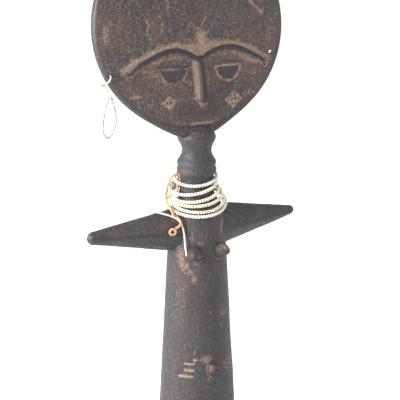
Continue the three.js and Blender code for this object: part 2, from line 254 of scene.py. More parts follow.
def sweep_cord(shape: Shape, line: np.ndarray, ply: Ply, closed: bool = False) -> None:
    """Sweep a plied cord along a line, as one closed skin whose lobes twist round it.

    Args:
        shape: the mesh that gets the cord.
        line: the points that the cord follows.
        ply: the cord's radius, yarns and lay.
        closed: whether the line's last point joins its first.
    """
    sides = 4 * ply.yarns + 4
    count = len(line)
    ahead = np.roll(line, -1, axis=0) - np.roll(line, 1, axis=0)
    if not closed:
        ahead[0], ahead[-1] = line[1] - line[0], line[-1] - line[-2]
    ahead /= np.linalg.norm(ahead, axis=1)[:, None]
    across = np.cross(ahead[0], (0.3, 0.2, 1.0))
    across /= np.linalg.norm(across)
    start, drift, sections, tones = across, 0.0, [], []
    angles = np.arange(sides) * 2 * math.pi / sides
    travelled = np.concatenate([[0], np.cumsum(np.linalg.norm(np.diff(line, axis=0), axis=1))])
    total = travelled[-1] + (np.linalg.norm(line[0] - line[-1]) if closed else 0)
    frames = []
    for way in ahead:
        across = across - way * (across @ way)
        across = across / np.linalg.norm(across)
        frames.append((across, np.cross(way, across)))
    if closed:
        last = across - ahead[0] * (across @ ahead[0])
        drift = math.atan2(float(np.cross(last, start) @ ahead[0]), float(last @ start))
    turns = round(total / ply.lay) if closed else total / ply.lay
    for i in range(count):
        share = travelled[i] / total
        phase = 2 * math.pi * turns * share
        lift = np.abs(np.cos(ply.yarns * (angles - phase) / 2))
        reach = ply.radius * (1 - ply.depth * (1 - lift))
        side, up = frames[i]
        seen = angles + drift * share
        ring = np.outer(np.cos(seen), side) + np.outer(np.sin(seen), up)
        sections.append(line[i] + reach[:, None] * ring)
        # The tone is the lift, so the cotton paints the valleys between the yarns darker as painted shade.
        tones.append(lift)
    faces = skin_rings(count, sides, wrap=closed)
    if not closed:
        faces.append(tuple(reversed(range(sides))))
        faces.append(tuple(range((count - 1) * sides, count * sides)))
    shape.add(np.vstack(sections), faces, np.concatenate(tones))


@dataclass(frozen=True)
class Bead:
    """A drawn-glass seed bead: its radius, its length along the thread and its bore."""

    radius: float
    length: float
    bore: float
    sides: int = 12

    def outline(self) -> list[Flat]:
        """Give the (along, out) corners of half its section, round the glass and back through the bore."""
        half, r, b = self.length / 2, self.radius, self.bore
        return [
            (-0.8 * half, b),
            (-half, (b + 0.62 * r) / 1.7),
            (-0.88 * half, 0.83 * r),
            (-0.42 * half, 0.98 * r),
            (0.42 * half, 0.98 * r),
            (0.88 * half, 0.83 * r),
            (half, (b + 0.62 * r) / 1.7),
            (0.8 * half, b),
        ]

    def thread_on(self, shape: Shape, centre: np.ndarray, way: np.ndarray, tone: float, grow: float) -> None:
        """Add one bead.

        Args:
            shape: the mesh that gets the bead.
            centre: the middle of the bead.
            way: the thread's direction there.
            tone: the bead's place in the run of glass colours, from 0 to 1.
            grow: a factor on its size, as no two beads are alike.
        """
        way = way / np.linalg.norm(way)
        side = np.cross(way, (0.31, 0.47, 0.83))
        side /= np.linalg.norm(side)
        up = np.cross(way, side)
        angles = np.arange(self.sides) * 2 * math.pi / self.sides
        circle = np.outer(np.cos(angles), side) + np.outer(np.sin(angles), up)
        rings = [centre + grow * (along * way + out * circle) for along, out in self.outline()]
        shape.add(np.vstack(rings), skin_rings(len(rings), self.sides, wrap=True), tone)


# ---------------------------------------------------------------- finishes


@dataclass(frozen=True)
class BlackenedWood:
    """Carved hardwood, stained black and rubbed by hands: dull brown-grey, with tan wood at its high edges.

    The mesh tells where the stain is whole (ridge), a mask that also holds a shadow painted in black along the
    eyelids; where it is rubbed through (the wear mask, which also holds a highlight painted as lighter, reddish
    wood down the body's left side); where it is reddish (warm) and where the surface is rough from the knife
    (rough).
    """

    stain: str = "3a3436"
    stain_cool: str = "34373b"
    stain_warm: str = "4b3f39"
    fleck: str = "75685f"
    black_and_painted_shade: str = "26292e"
    # Black of whole stain, also used for the shadow painted along the eyelids.
    bare: str = "b59c85"
    bare_red_and_highlight: str = "a87f6b"
    bare_deep: str = "8a7262"
    patch_mm: float = 22.0
    mottle_mm: float = 1.5
    grain_mm: float = 0.9
    roughness: float = 0.55

    def build(self) -> bpy.types.Material:
        """Make the material.

        Returns:
            The wood, coloured by the mesh's attributes and by noise at millimetre sizes.
        """
        made = bpy.data.materials.new("blackened_carved_hardwood")
        made.use_nodes = True
        tree = made.node_tree
        shader = tree.nodes["Principled BSDF"]
        place = add_node(tree, "ShaderNodeTexCoord").outputs["Object"]
        masks = {
            name: add_node(tree, "ShaderNodeAttribute", {"attribute_name": name}).outputs["Fac"]
            for name in ("ridge", "wear_and_highlight", "warm", "rough")
        }
        patches = add_node(
            tree,
            "ShaderNodeTexNoise",
            {},
            {"Vector": place, "Scale": 1 / (self.patch_mm * MM), "Detail": 3.0, "Roughness": 0.55},
        )
        mottle = add_node(
            tree,
            "ShaderNodeTexNoise",
            {},
            {"Vector": place, "Scale": 1 / (self.mottle_mm * MM), "Detail": 4.0, "Roughness": 0.65},
        )
        stretched = add_node(
            tree, "ShaderNodeMapping", {"vector_type": "POINT"}, {"Vector": place, "Scale": (1.0, 1.0, 0.16)}
        )
        grain = add_node(
            tree,
            "ShaderNodeTexNoise",
            {},
            {
                "Vector": stretched.outputs[0],
                "Scale": 1 / (self.grain_mm * MM),
                "Detail": 3.0,
                "Roughness": 0.6,
            },
        )
        # The stain took unevenly: cool and warm clouds a finger's width across.
        warmth = add_node(
            tree,
            "ShaderNodeMath",
            {"operation": "MULTIPLY_ADD"},
            {0: masks["rough"], 1: 0.4, 2: patches.outputs["Fac"]},
        )
        hue = add_node(
            tree, "ShaderNodeMapRange", {}, {"Value": warmth.outputs[0], "From Min": 0.6, "From Max": 0.88}
        )
        cloud = add_node(
            tree,
            "ShaderNodeValToRGB",
            {},
            {"Fac": hue.outputs[0]},
        )
        cloud.color_ramp.elements[0].color = linear(self.stain_cool)
        cloud.color_ramp.elements[1].color = linear(self.stain_warm)
        middle = cloud.color_ramp.elements.new(0.5)
        middle.color = linear(self.stain)
        # Fine flecks where the stain misses the pores, stronger where the knife left the surface rough.
        speck = add_node(
            tree,
            "ShaderNodeMapRange",
            {},
            {"Value": mottle.outputs["Fac"], "From Min": 0.47, "From Max": 0.66},
        )
        streak = add_node(
            tree,
            "ShaderNodeMapRange",
            {},
            {"Value": grain.outputs["Fac"], "From Min": 0.42, "From Max": 0.75},
        )
        both = add_node(
            tree,
            "ShaderNodeMath",
            {"operation": "MULTIPLY_ADD"},
            {0: streak.outputs[0], 1: 0.35, 2: speck.outputs[0]},
        )
        flecks = add_node(
            tree, "ShaderNodeMath", {"operation": "MULTIPLY"}, {0: both.outputs[0], 1: masks["rough"]}
        )
        flecked = add_node(
            tree,
            "ShaderNodeMix",
            {"data_type": "RGBA"},
            {0: flecks.outputs[0], 6: cloud.outputs["Color"], 7: linear(self.fleck)},
        )
        # Rubbed wood, and the highlight painted as lighter wood down the body's left side: tan, redder in places,
        # broken up by the grain.
        tan = add_node(
            tree,
            "ShaderNodeMix",
            {"data_type": "RGBA"},
            {0: mottle.outputs["Fac"], 6: linear(self.bare_deep), 7: linear(self.bare)},
        )
        bare = add_node(
            tree,
            "ShaderNodeMix",
            {"data_type": "RGBA"},
            {0: masks["warm"], 6: tan.outputs[2], 7: linear(self.bare_red_and_highlight)},
        )
        broken = add_node(
            tree,
            "ShaderNodeMath",
            {"operation": "MULTIPLY_ADD"},
            {0: mottle.outputs["Fac"], 1: 1.3, 2: -0.65},
        )
        # The share of lighter wood, from the wear and from the highlight painted down the body's left side.
        edge = add_node(
            tree, "ShaderNodeMath", {"operation": "ADD"}, {0: broken.outputs[0], 1: masks["wear_and_highlight"]}
        )
        rubbed = add_node(
            tree, "ShaderNodeMapRange", {}, {"Value": edge.outputs[0], "From Min": 0.25, "From Max": 0.95}
        )
        wear_and_highlight = add_node(
            tree,
            "ShaderNodeMix",
            {"data_type": "RGBA"},
            {0: rubbed.outputs[0], 6: flecked.outputs[2], 7: bare.outputs[2]},
        )
        # Whole black stain, and the shadow painted along the eyelids, go over the rest.
        colour = add_node(
            tree,
            "ShaderNodeMix",
            {"data_type": "RGBA"},
            {0: masks["ridge"], 6: wear_and_highlight.outputs[2], 7: linear(self.black_and_painted_shade)},
        )
        tree.links.new(colour.outputs[2], shader.inputs["Base Color"])
        # Handled wood is smoother on its ridges and duller where the stain has gone.
        dull = add_node(
            tree,
            "ShaderNodeMath",
            {"operation": "MULTIPLY_ADD"},
            {0: rubbed.outputs[0], 1: 0.16, 2: self.roughness},
        )
        rough = add_node(
            tree,
            "ShaderNodeMath",
            {"operation": "MULTIPLY_ADD"},
            {0: masks["ridge"], 1: -0.14, 2: dull.outputs[0]},
        )
        tree.links.new(rough.outputs[0], shader.inputs["Roughness"])
        relief = add_node(
            tree,
            "ShaderNodeMath",
            {"operation": "MULTIPLY_ADD"},
            {0: mottle.outputs["Fac"], 1: 0.8, 2: grain.outputs["Fac"]},
        )
        bump = add_node(
            tree, "ShaderNodeBump", {}, {"Strength": 0.5, "Distance": 0.4 * MM, "Height": relief.outputs[0]}
        )
        tree.links.new(bump.outputs[0], shader.inputs["Normal"])
        shader.inputs["IOR"].default_value = 1.5
        shader.inputs["Specular IOR Level"].default_value = 0.38
        return made


class Glass(Enum):
    """The runs of bead colour: the first and last sRGB hex of each."""

    CREAM = ("fbf7f0", "f3e6c4")
    LAVENDER = ("c6c8de", "787b9a")


@dataclass(frozen=True)
class BeadGlass:
    """Opaque drawn glass, tumbled smooth: glossy, with a soft waxy depth and a tone that varies by bead."""

    glass: Glass
    roughness: float = 0.18
    depth_mm: float = 0.5

    def build(self) -> bpy.types.Material:
        """Make the material, coloured along its glass's run by each bead's tone."""
        made = bpy.data.materials.new(f"drawn_bead_glass_{self.glass.name.lower()}")
        made.use_nodes = True
        tree = made.node_tree
        shader = tree.nodes["Principled BSDF"]
        tone = add_node(tree, "ShaderNodeAttribute", {"attribute_name": "tone"})
        run = add_node(tree, "ShaderNodeValToRGB", {}, {"Fac": tone.outputs["Fac"]})
        run.color_ramp.elements[0].color, run.color_ramp.elements[1].color = map(linear, self.glass.value)
        tree.links.new(run.outputs["Color"], shader.inputs["Base Color"])
        shader.inputs["Roughness"].default_value = self.roughness
        shader.inputs["IOR"].default_value = 1.52
        shader.inputs["Subsurface Weight"].default_value = 0.25
        shader.inputs["Subsurface Scale"].default_value = self.depth_mm * MM
        return made


@dataclass(frozen=True)
class SpunCotton:
    """Spun cotton yarn, laid up by hand: matt, with shade painted darker between its yarns, and a faint fuzz at
    its edges.
    """

    name: str
    light: str
    deep_and_shade: str
    fibre_mm: float = 0.35

    def build(self) -> bpy.types.Material:
        """Make the material, with shade painted darker in the lay where the tone is low, and mottled along its
        fibres.
        """
        made = bpy.data.materials.new(self.name)
        made.use_nodes = True
        tree = made.node_tree
        shader = tree.nodes["Principled BSDF"]
        place = add_node(tree, "ShaderNodeTexCoord").outputs["Object"]
        fibres = add_node(
            tree,
            "ShaderNodeTexNoise",
            {},
            {"Vector": place, "Scale": 1 / (self.fibre_mm * MM), "Detail": 3.0},
        )
        # Painted shade: the tone is low in the valleys between the yarns, where the colour goes to the deep one.
        tone = add_node(tree, "ShaderNodeAttribute", {"attribute_name": "tone"})
        lit = add_node(
            tree,
            "ShaderNodeMath",
            {"operation": "MULTIPLY_ADD"},
            {0: fibres.outputs["Fac"], 1: 0.5, 2: tone.outputs["Fac"]},
        )
        share = add_node(
            tree, "ShaderNodeMapRange", {}, {"Value": lit.outputs[0], "From Min": 0.25, "From Max": 1.15}
        )
        colour = add_node(
            tree,
            "ShaderNodeMix",
            {"data_type": "RGBA"},
            {0: share.outputs[0], 6: linear(self.deep_and_shade), 7: linear(self.light)},
        )
        tree.links.new(colour.outputs[2], shader.inputs["Base Color"])
        bump = add_node(
            tree,
            "ShaderNodeBump",
            {},
            {"Strength": 0.5, "Distance": 0.15 * MM, "Height": fibres.outputs["Fac"]},
        )
        tree.links.new(bump.outputs[0], shader.inputs["Normal"])
        shader.inputs["Roughness"].default_value = 0.9
        shader.inputs["Sheen Weight"].default_value = 0.3
        return made


# ---------------------------------------------------------------- studio


@dataclass
class Studio:
    """A white floor under soft light, and the camera in front of the doll's right shoulder."""

    eye: Point = (-360.94, -778.77, 448.64)
    target: Point = (1.81, -0.845, 178.0)
    lens_mm: float = 127.2
    floor_reach: float = 6000.0
    sky: float = 0.57
    key_watts: float = 14.5

    def build(self) -> None:
        """Make the camera, the floor, the lamps and the world."""
        self.add_camera()
        self.add_floor()
        self.add_lamp("key", (-820, -60, 470), 420, self.key_watts)
        self.add_lamp("fill", (620, -520, 430), 520, 0.12 * self.key_watts)
        self.dress_world()
        bpy.context.scene.view_settings.view_transform = "Standard"

    def add_camera(self) -> None:
        """Stand the camera at its place and aim it at the doll's chest."""
        data = bpy.data.cameras.new("camera")
        data.lens = self.lens_mm
        data.sensor_width = 36
        camera = bpy.data.objects.new("camera", data)
        place, target = Vector(self.eye) * MM, Vector(self.target) * MM
        camera.location = place
        camera.rotation_euler = (target - place).to_track_quat("-Z", "Y").to_euler()
        bpy.context.scene.collection.objects.link(camera)
        bpy.context.scene.camera = camera

    def add_floor(self) -> None:
        """Lay a wide pale floor that renders white where no shadow falls."""
        reach = self.floor_reach
        signs = ((-1, -1), (1, -1), (1, 1), (-1, 1))
        corners = np.array([(x * reach, y * reach, 0) for x, y in signs], float)
        shape = Shape()
        shape.add(corners, [(0, 1, 2, 3)])
        floor = shape.to_object("floor")
        made = bpy.data.materials.new("matt_white_floor")
        made.use_nodes = True
        tree = made.node_tree
        shader = tree.nodes["Principled BSDF"]
        shader.inputs["Base Color"].default_value = (0.82, 0.82, 0.82, 1)
        shader.inputs["Roughness"].default_value = 0.9
        shader.inputs["Specular IOR Level"].default_value = 0.0
        rays = add_node(tree, "ShaderNodeLightPath")
        seen = add_node(
            tree,
            "ShaderNodeMath",
            {"operation": "MAXIMUM"},
            {0: rays.outputs["Is Camera Ray"], 1: rays.outputs["Is Glossy Ray"]},
        )
        lift = add_node(
            tree, "ShaderNodeMath", {"operation": "MULTIPLY"}, {0: seen.outputs[0], 1: 0.6}
        )
        tree.links.new(lift.outputs[0], shader.inputs["Emission Strength"])
        shader.inputs["Emission Color"].default_value = (1, 1, 1, 1)
        floor.data.materials.append(made)

    def add_lamp(self, name: str, place: Point, size: float, watts: float) -> None:
        """Hang a square soft lamp that faces the doll's chest.

        Args:
            name: the lamp's name.
            place: where it hangs, in millimetres.
            size: the length of its side, in millimetres.
            watts: its power.
        """
        data = bpy.data.lights.new(name, "AREA")
        data.energy = watts
        data.size = size * MM
        lamp = bpy.data.objects.new(name, data)
        lamp.location = Vector(place) * MM
        lamp.rotation_euler = (Vector(self.target) * MM - lamp.location).to_track_quat("-Z", "Y").to_euler()
        bpy.context.scene.collection.objects.link(lamp)

    def dress_world(self) -> None:
        """Light the doll evenly from all round, and show white behind it."""
        world = bpy.data.worlds.new("pale_room")
        bpy.context.scene.world = world
        world.use_nodes = True
        tree = world.node_tree
        rays = add_node(tree, "ShaderNodeLightPath")
        glossy = add_node(
            tree,
            "ShaderNodeMath",
            {"operation": "MAXIMUM"},
            {0: rays.outputs["Is Camera Ray"], 1: rays.outputs["Is Glossy Ray"]},
        )
        shown = add_node(
            tree,
            "ShaderNodeMath",
            {"operation": "MAXIMUM"},
            {0: glossy.outputs[0], 1: rays.outputs["Is Transmission Ray"]},
        )
        strength = add_node(
            tree,
            "ShaderNodeMapRange",
            {},
            {"Value": shown.outputs[0], "To Min": self.sky, "To Max": 1.0},
        )
        tree.links.new(strength.outputs[0], tree.nodes["Background"].inputs["Strength"])
        tree.nodes["Background"].inputs["Color"].default_value = (1, 1, 1, 1)


# ---------------------------------------------------------------- the carved figure


@dataclass(frozen=True)
class HalfMoon:
    """A carved eye: the middle of its lid, half its width, how far it falls, and how much its rim shows."""

    centre: Flat
    half_width: float
    fall: float
    tilt: float
    rim: float

    def outline(self) -> np.ndarray:
        """Give the closed line of the rim: along the lid, then back round the lower arc."""
        turn = math.radians(self.tilt)
        angles = np.linspace(0, -math.pi, 19)
        flat = np.stack([self.half_width * np.cos(angles), self.fall * np.sin(angles)], axis=1)
        flat = np.vstack([flat, flat[0]])
        across = np.array([math.cos(turn), math.sin(turn)])
        up = np.array([-math.sin(turn), math.cos(turn)])
        return np.array(self.centre) + flat[:, :1] * across + flat[:, 1:] * up


@dataclass(frozen=True)
class Lattice:
    """A cheek mark: a cut rhombus with rows of pricked dots, by its centre, half sizes and rows."""

    centre: Flat
    half: Flat
    rows: tuple[tuple[float, tuple[float, ...]], ...]
    bare: float = 1.0


@dataclass(frozen=True)
class Rub:
    """A rubbed place on the face: a line with a half-width, how bare it is and how red."""

    stops: tuple[Flat, ...]
    half_width: float
    bare: float
    red: float = 0.0


@dataclass
class Face:
    """The head's front in its own frame: x to the doll's left, y up the disc, from the disc's centre."""

    brows: tuple[tuple[Flat, ...], ...] = (
        (
            (-44.4, -25.8),
            (-37.0, -20.7),
            (-27.4, -16.7),
            (-20.4, -14.4),
            (-13.3, -13.8),
            (-6.4, -16.0),
            (1.2, -20.4),
        ),
        ((49.0, -25.1), (38.3, -19.5), (28.8, -15.3), (21.2, -14.3), (12.8, -15.6), (5.2, -18.9)),
    )
    brow_half: float = 1.42
    brow_high: float = 1.5
    nose: tuple[Flat, ...] = ((2.6, -19.6), (3.3, -27.0), (3.9, -35.0), (4.3, -44.6))
    nose_halves: Flat = (1.7, 2.7)
    nose_highs: Flat = (1.6, 3.0)
    eyes: tuple[HalfMoon, ...] = (
        HalfMoon((-14.8, -25.1), 9.0, 9.4, -1.5, 0.6),
        HalfMoon((21.9, -25.6), 8.7, 9.5, -1.0, 1.15),
    )
    # The lid lines over the eyes: each is cut in, and the shadow at the eye's top edge is painted along it in
    # black.
    lids: tuple[tuple[Flat, ...], ...] = (
        ((-25.0, -23.3), (-15.0, -23.3), (-5.2, -24.2)),
        ((15.1, -23.2), (23.0, -23.1), (31.0, -23.9)),
    )
    lattices: tuple[Lattice, ...] = (
        Lattice((-18.6, -45.4), (5.8, 4.6), ((0.0, (-1.2, 1.1)),), 0.8),
        Lattice(
            (25.4, -47.4),
            (6.6, 6.2),
            ((2.5, (-1.9, 0.8)), (0.2, (-3.8, -1.2, 1.3, 4.0)), (-2.5, (-0.8, 1.7))),
        ),
    )
    mouth: tuple[Flat, ...] = ((-3.8, -60.2), (3.5, -60.1), (11.2, -60.3))
    mouth_cut: tuple[Flat, ...] = ((-9.1, -60.9), (-4.4, -61.9), (2.5, -63.0), (9.4, -62.6), (13.8, -61.8))
    rubs: tuple[Rub, ...] = (
        Rub(((4.6, -6.0), (5.0, -12.5), (3.2, -17.5)), 4.6, 0.8),
        Rub(((-8.0, -12.5), (16.0, -12.0)), 3.6, 0.7),
        Rub(((-0.8, -22.0), (-0.5, -30.0), (0.2, -44.0)), 2.0, 1.1),
        Rub(((6.8, -24.0), (8.0, -40.0)), 1.5, 0.45, 0.7),
        Rub(((1.2, -47.2), (3.6, -49.0), (5.8, -48.4)), 1.4, 0.75, 0.8),
        Rub(((31.5, -20.8), (38.5, -23.8), (44.5, -25.4)), 1.8, 0.7, 0.5),
        Rub(((11.0, -19.0), (22.0, -18.0), (30.0, -19.3)), 1.6, 0.45, 0.3),
        Rub(((-28.0, -20.5), (-20.0, -18.0), (-10.0, -18.5)), 1.7, 0.55, 0.3),
        Rub(((-34.0, -25.5), (-27.0, -27.5)), 3.5, 0.42, 0.4),
        Rub(((38.6, 14.0), (43.5, 9.0), (47.7, 4.8)), 1.2, 0.75, 0.3),
        Rub(((4.6, 0.0), (8.4, 5.5)), 0.45, 0.8),
        Rub(((-28.9, -6.1), (-30.9, -0.7), (-29.1, 2.9), (-31.3, 5.4)), 0.8, 0.6, 0.1),
        Rub(((-17.4, 17.2), (-16.0, 12.5)), 1.1, 0.6),
        Rub(((-22.0, 7.0), (-21.0, -1.0)), 1.6, 0.42, 0.5),
        Rub(((-57.0, 2.0), (-56.6, -3.6)), 2.6, 0.45, 0.5),
        Rub(((-43.0, -40.3), (-37.5, -39.6)), 1.8, 0.55, 0.2),
        Rub(((-9.0, -11.5), (-26.0, -14.0), (-38.0, -19.5)), 2.4, 0.5, 0.2),
        Rub(((33.0, -43.5), (40.0, -44.5)), 1.8, 0.45, 0.6),
        Rub(((-12.0, -30.0), (-2.5, -36.0)), 1.6, 0.45, 0.7),
        Rub(((46.5, -26.5), (50.5, -28.5)), 1.0, 0.5, 0.2),
        Rub(((-6.0, -66.0), (8.0, -67.0)), 1.0, 0.35, 0.3),
        Rub(((-2.5, 1.5), (2.5, -2.5)), 2.0, 0.4, 0.2),
        Rub(((53.0, -2.0), (52.0, -12.0)), 2.5, 0.38, 0.8),
    )
    stains: tuple[Rub, ...] = (
        Rub(((-6.0, -51.5), (2.0, -54.5), (14.0, -52.0)), 4.5, 0.55),
        Rub(((17.0, -40.0), (24.0, -42.0)), 3.0, 0.35),
        Rub(((-2.0, 18.0), (2.0, 4.0)), 6.0, 0.4),
        Rub(((-30.0, 20.0), (-22.0, 24.0)), 7.0, 0.4),
        Rub(((34.0, 8.0), (36.0, 0.0)), 5.0, 0.35),
        Rub(((-52.0, -27.0), (-40.0, -27.5)), 3.2, 0.45),
        Rub(((30.0, -56.0), (38.0, -50.0)), 2.5, 0.4),
    )

    def brow_band(self, flat: np.ndarray, side: int) -> tuple[np.ndarray, np.ndarray]:
        """Measure points against one brow.

        Args:
            flat: (x, y) rows.
            side: 0 for the doll's right brow and 1 for its left.

        Returns:
            The distance to the brow's line as a share of its half-width there, and the distance in mm.
        """
        stops = smooth_path([(x, y, 0.0) for x, y in self.brows[side]], 1.5)[:, :2]
        far, place = distance_to_line(flat, stops)
        swell = 0.34 + 0.66 * soft_step(0.0, 0.42, place)
        half = self.brow_half * swell * (1 - 0.15 * soft_step(0.85, 1.0, place))
        return far / half, far

    def nose_band(self, flat: np.ndarray) -> tuple[np.ndarray, np.ndarray]:
        """Give each point's distance to the nose's line as a share of its half-width, and its place down."""
        far, place = distance_to_line(flat, np.array(self.nose))
        half = self.nose_halves[0] + (self.nose_halves[1] - self.nose_halves[0]) * place
        return far / half, place

    def relief(self, flat: np.ndarray) -> np.ndarray:
        """Work out how far the carving stands out of the plain domed face.

        Args:
            flat: (x, y) rows in the head's frame.

        Returns:
            The height in mm at each point, negative where it is cut in.
        """
        ridge = np.zeros(len(flat))
        for side in (0, 1):
            share, far = self.brow_band(flat, side)
            ridge = np.maximum(ridge, self.brow_high * (1 - soft_step(0.45, 1.3, share)))
            ridge = ridge - 0.35 * np.exp(-(((far - 3.4) / 1.7) ** 2)) * (ridge < 0.3)
        share, place = self.nose_band(flat)
        high = self.nose_highs[0] + (self.nose_highs[1] - self.nose_highs[0]) * place
        ridge = np.maximum(ridge, high * (1 - soft_step(0.35, 1.25, share)))
        for eye in self.eyes:
            far, _ = distance_to_line(flat, eye.outline())
            inside = self.inside_eye(flat, eye)
            ridge = ridge + 0.5 * np.exp(-((far / 0.62) ** 2)) - 0.35 * inside * soft_step(0.4, 1.4, far)
        for lid in self.lids:
            far, _ = distance_to_line(flat, np.array(lid))
            ridge = ridge - 0.35 * np.exp(-((far / 0.5) ** 2))
        for mark in self.lattices:
            inside, _, dots = self.lattice_parts(flat, mark)
            ridge = ridge + 0.18 * inside - 0.7 * dots
        far, _ = distance_to_line(flat, np.array(self.mouth))
        ridge = ridge + 0.5 * np.exp(-((far / 0.9) ** 2))
        far, _ = distance_to_line(flat, np.array(self.mouth_cut))
        return ridge - 0.55 * np.exp(-((far / 0.65) ** 2))

    def inside_eye(self, flat: np.ndarray, eye: HalfMoon) -> np.ndarray:
        """Say which points lie inside an eye's rim, as 0 or 1."""
        turn = math.radians(eye.tilt)
        away = flat - np.array(eye.centre)
        x = away @ np.array([math.cos(turn), math.sin(turn)])
        y = away @ np.array([-math.sin(turn), math.cos(turn)])
        return ((y < 0) & ((x / eye.half_width) ** 2 + (y / eye.fall) ** 2 < 1)).astype(float)

    def lattice_parts(self, flat: np.ndarray, mark: Lattice) -> tuple[np.ndarray, np.ndarray, np.ndarray]:
        """Give the rhombus, its crossing lines and its dots as three masks from 0 to 1."""
        away = flat - np.array(mark.centre)
        size = np.abs(away[:, 0]) / mark.half[0] + np.abs(away[:, 1]) / mark.half[1]
        inside = 1 - soft_step(0.84, 1.12, size)
        slant = away[:, 0] / mark.half[0] + away[:, 1] / mark.half[1]
        other = away[:, 0] / mark.half[0] - away[:, 1] / mark.half[1]
        crossing = [np.abs(np.sin(1.5 * math.pi * way)) for way in (slant, other)]
        lines = 1 - soft_step(0.05, 0.3, np.minimum(*crossing))
        dots = np.zeros(len(flat))
        for y, row in mark.rows:
            for x in row:
                far = np.hypot(away[:, 0] - x, away[:, 1] - y)
                dots = np.maximum(dots, 1 - soft_step(0.35, 0.85, far))
        return inside, lines, dots

    def masks(self, flat: np.ndarray, points: np.ndarray) -> dict[str, np.ndarray]:
        """Work out where the face is black, rubbed and reddish, and where a shadow is painted in black along the
        eyelids.

        Args:
            flat: (x, y) rows in the head's frame.
            points: the same points in the doll's frame, for the noise that breaks the edges up.

        Returns:
            The ridge mask with the painted shadow in it, the wear mask and the warm mask.
        """
        ridge = np.zeros(len(flat))
        wear_and_highlight = np.zeros(len(flat))
        warm = np.zeros(len(flat))
        blur = noise_at(points, 5.0, 3.0)
        for side in (0, 1):
            share, far = self.brow_band(flat, side)
            ridge = np.maximum(ridge, 1 - soft_step(0.75, 1.25, share))
            line = np.array(sorted(self.brows[side]))
            above = soft_step(-0.6, 0.8, flat[:, 1] - np.interp(flat[:, 0], line[:, 0], line[:, 1]))
            halo = (0.42 + 0.36 * above) * np.exp(-(((far - 2.6) / (2.6 + 1.0 * blur)) ** 2))
            wear_and_highlight = np.maximum(wear_and_highlight, halo)
        share, _ = self.nose_band(flat)
        ridge = np.maximum(ridge, 1 - soft_step(0.8, 1.2, share))
        for rub in self.rubs:
            far, _ = distance_to_line(flat, np.array(rub.stops))
            near = np.exp(-((far / (rub.half_width * (1.1 + 0.35 * blur))) ** 2))
            warm = np.where(near * rub.bare > wear_and_highlight * 0.8, rub.red * near, warm)
            wear_and_highlight = np.maximum(wear_and_highlight, rub.bare * near)
        for eye in self.eyes:
            far, _ = distance_to_line(flat, eye.outline())
            rim = eye.rim * np.exp(-((far / 0.75) ** 2)) * (0.8 + 0.5 * blur)
            wear_and_highlight = np.maximum(wear_and_highlight * (1 - 0.9 * self.inside_eye(flat, eye)), rim)
            ridge = np.maximum(ridge, 0.7 * self.inside_eye(flat, eye) * soft_step(0.6, 1.6, far))
        # Painted shadow: a line of black along each lid over the eye, with the wear taken off there.
        for lid in self.lids:
            far, _ = distance_to_line(flat, np.array(lid))
            near = np.exp(-((far / 0.7) ** 2))
            wear_and_highlight, ridge = wear_and_highlight * (1 - near), np.maximum(ridge, 0.6 * near)
        for mark in self.lattices:
            inside, lines, dots = self.lattice_parts(flat, mark)
            wear_and_highlight = np.maximum(wear_and_highlight, inside * mark.bare * (0.84 + 0.3 * lines + 0.2 * blur))
            wear_and_highlight, ridge = wear_and_highlight * (1 - dots), np.maximum(ridge, 0.95 * dots)
        far, _ = distance_to_line(flat, np.array(self.mouth))
        near = np.exp(-((far / 1.1) ** 2))
        wear_and_highlight, warm = np.maximum(wear_and_highlight, 0.8 * near), np.maximum(warm, 0.3 * near)
        far, _ = distance_to_line(flat, np.array(self.mouth_cut))
        ridge = np.maximum(ridge, 0.5 * np.exp(-((far / 0.9) ** 2)))
        for stain in self.stains:
            far, _ = distance_to_line(flat, np.array(stain.stops))
            near = stain.bare * np.exp(-((far / stain.half_width) ** 2))
            ridge = np.maximum(ridge, near * (1 - wear_and_highlight))
        return {"ridge": ridge, "wear_and_highlight": wear_and_highlight * (1 - soft_step(0.5, 0.9, ridge)), "warm": warm}


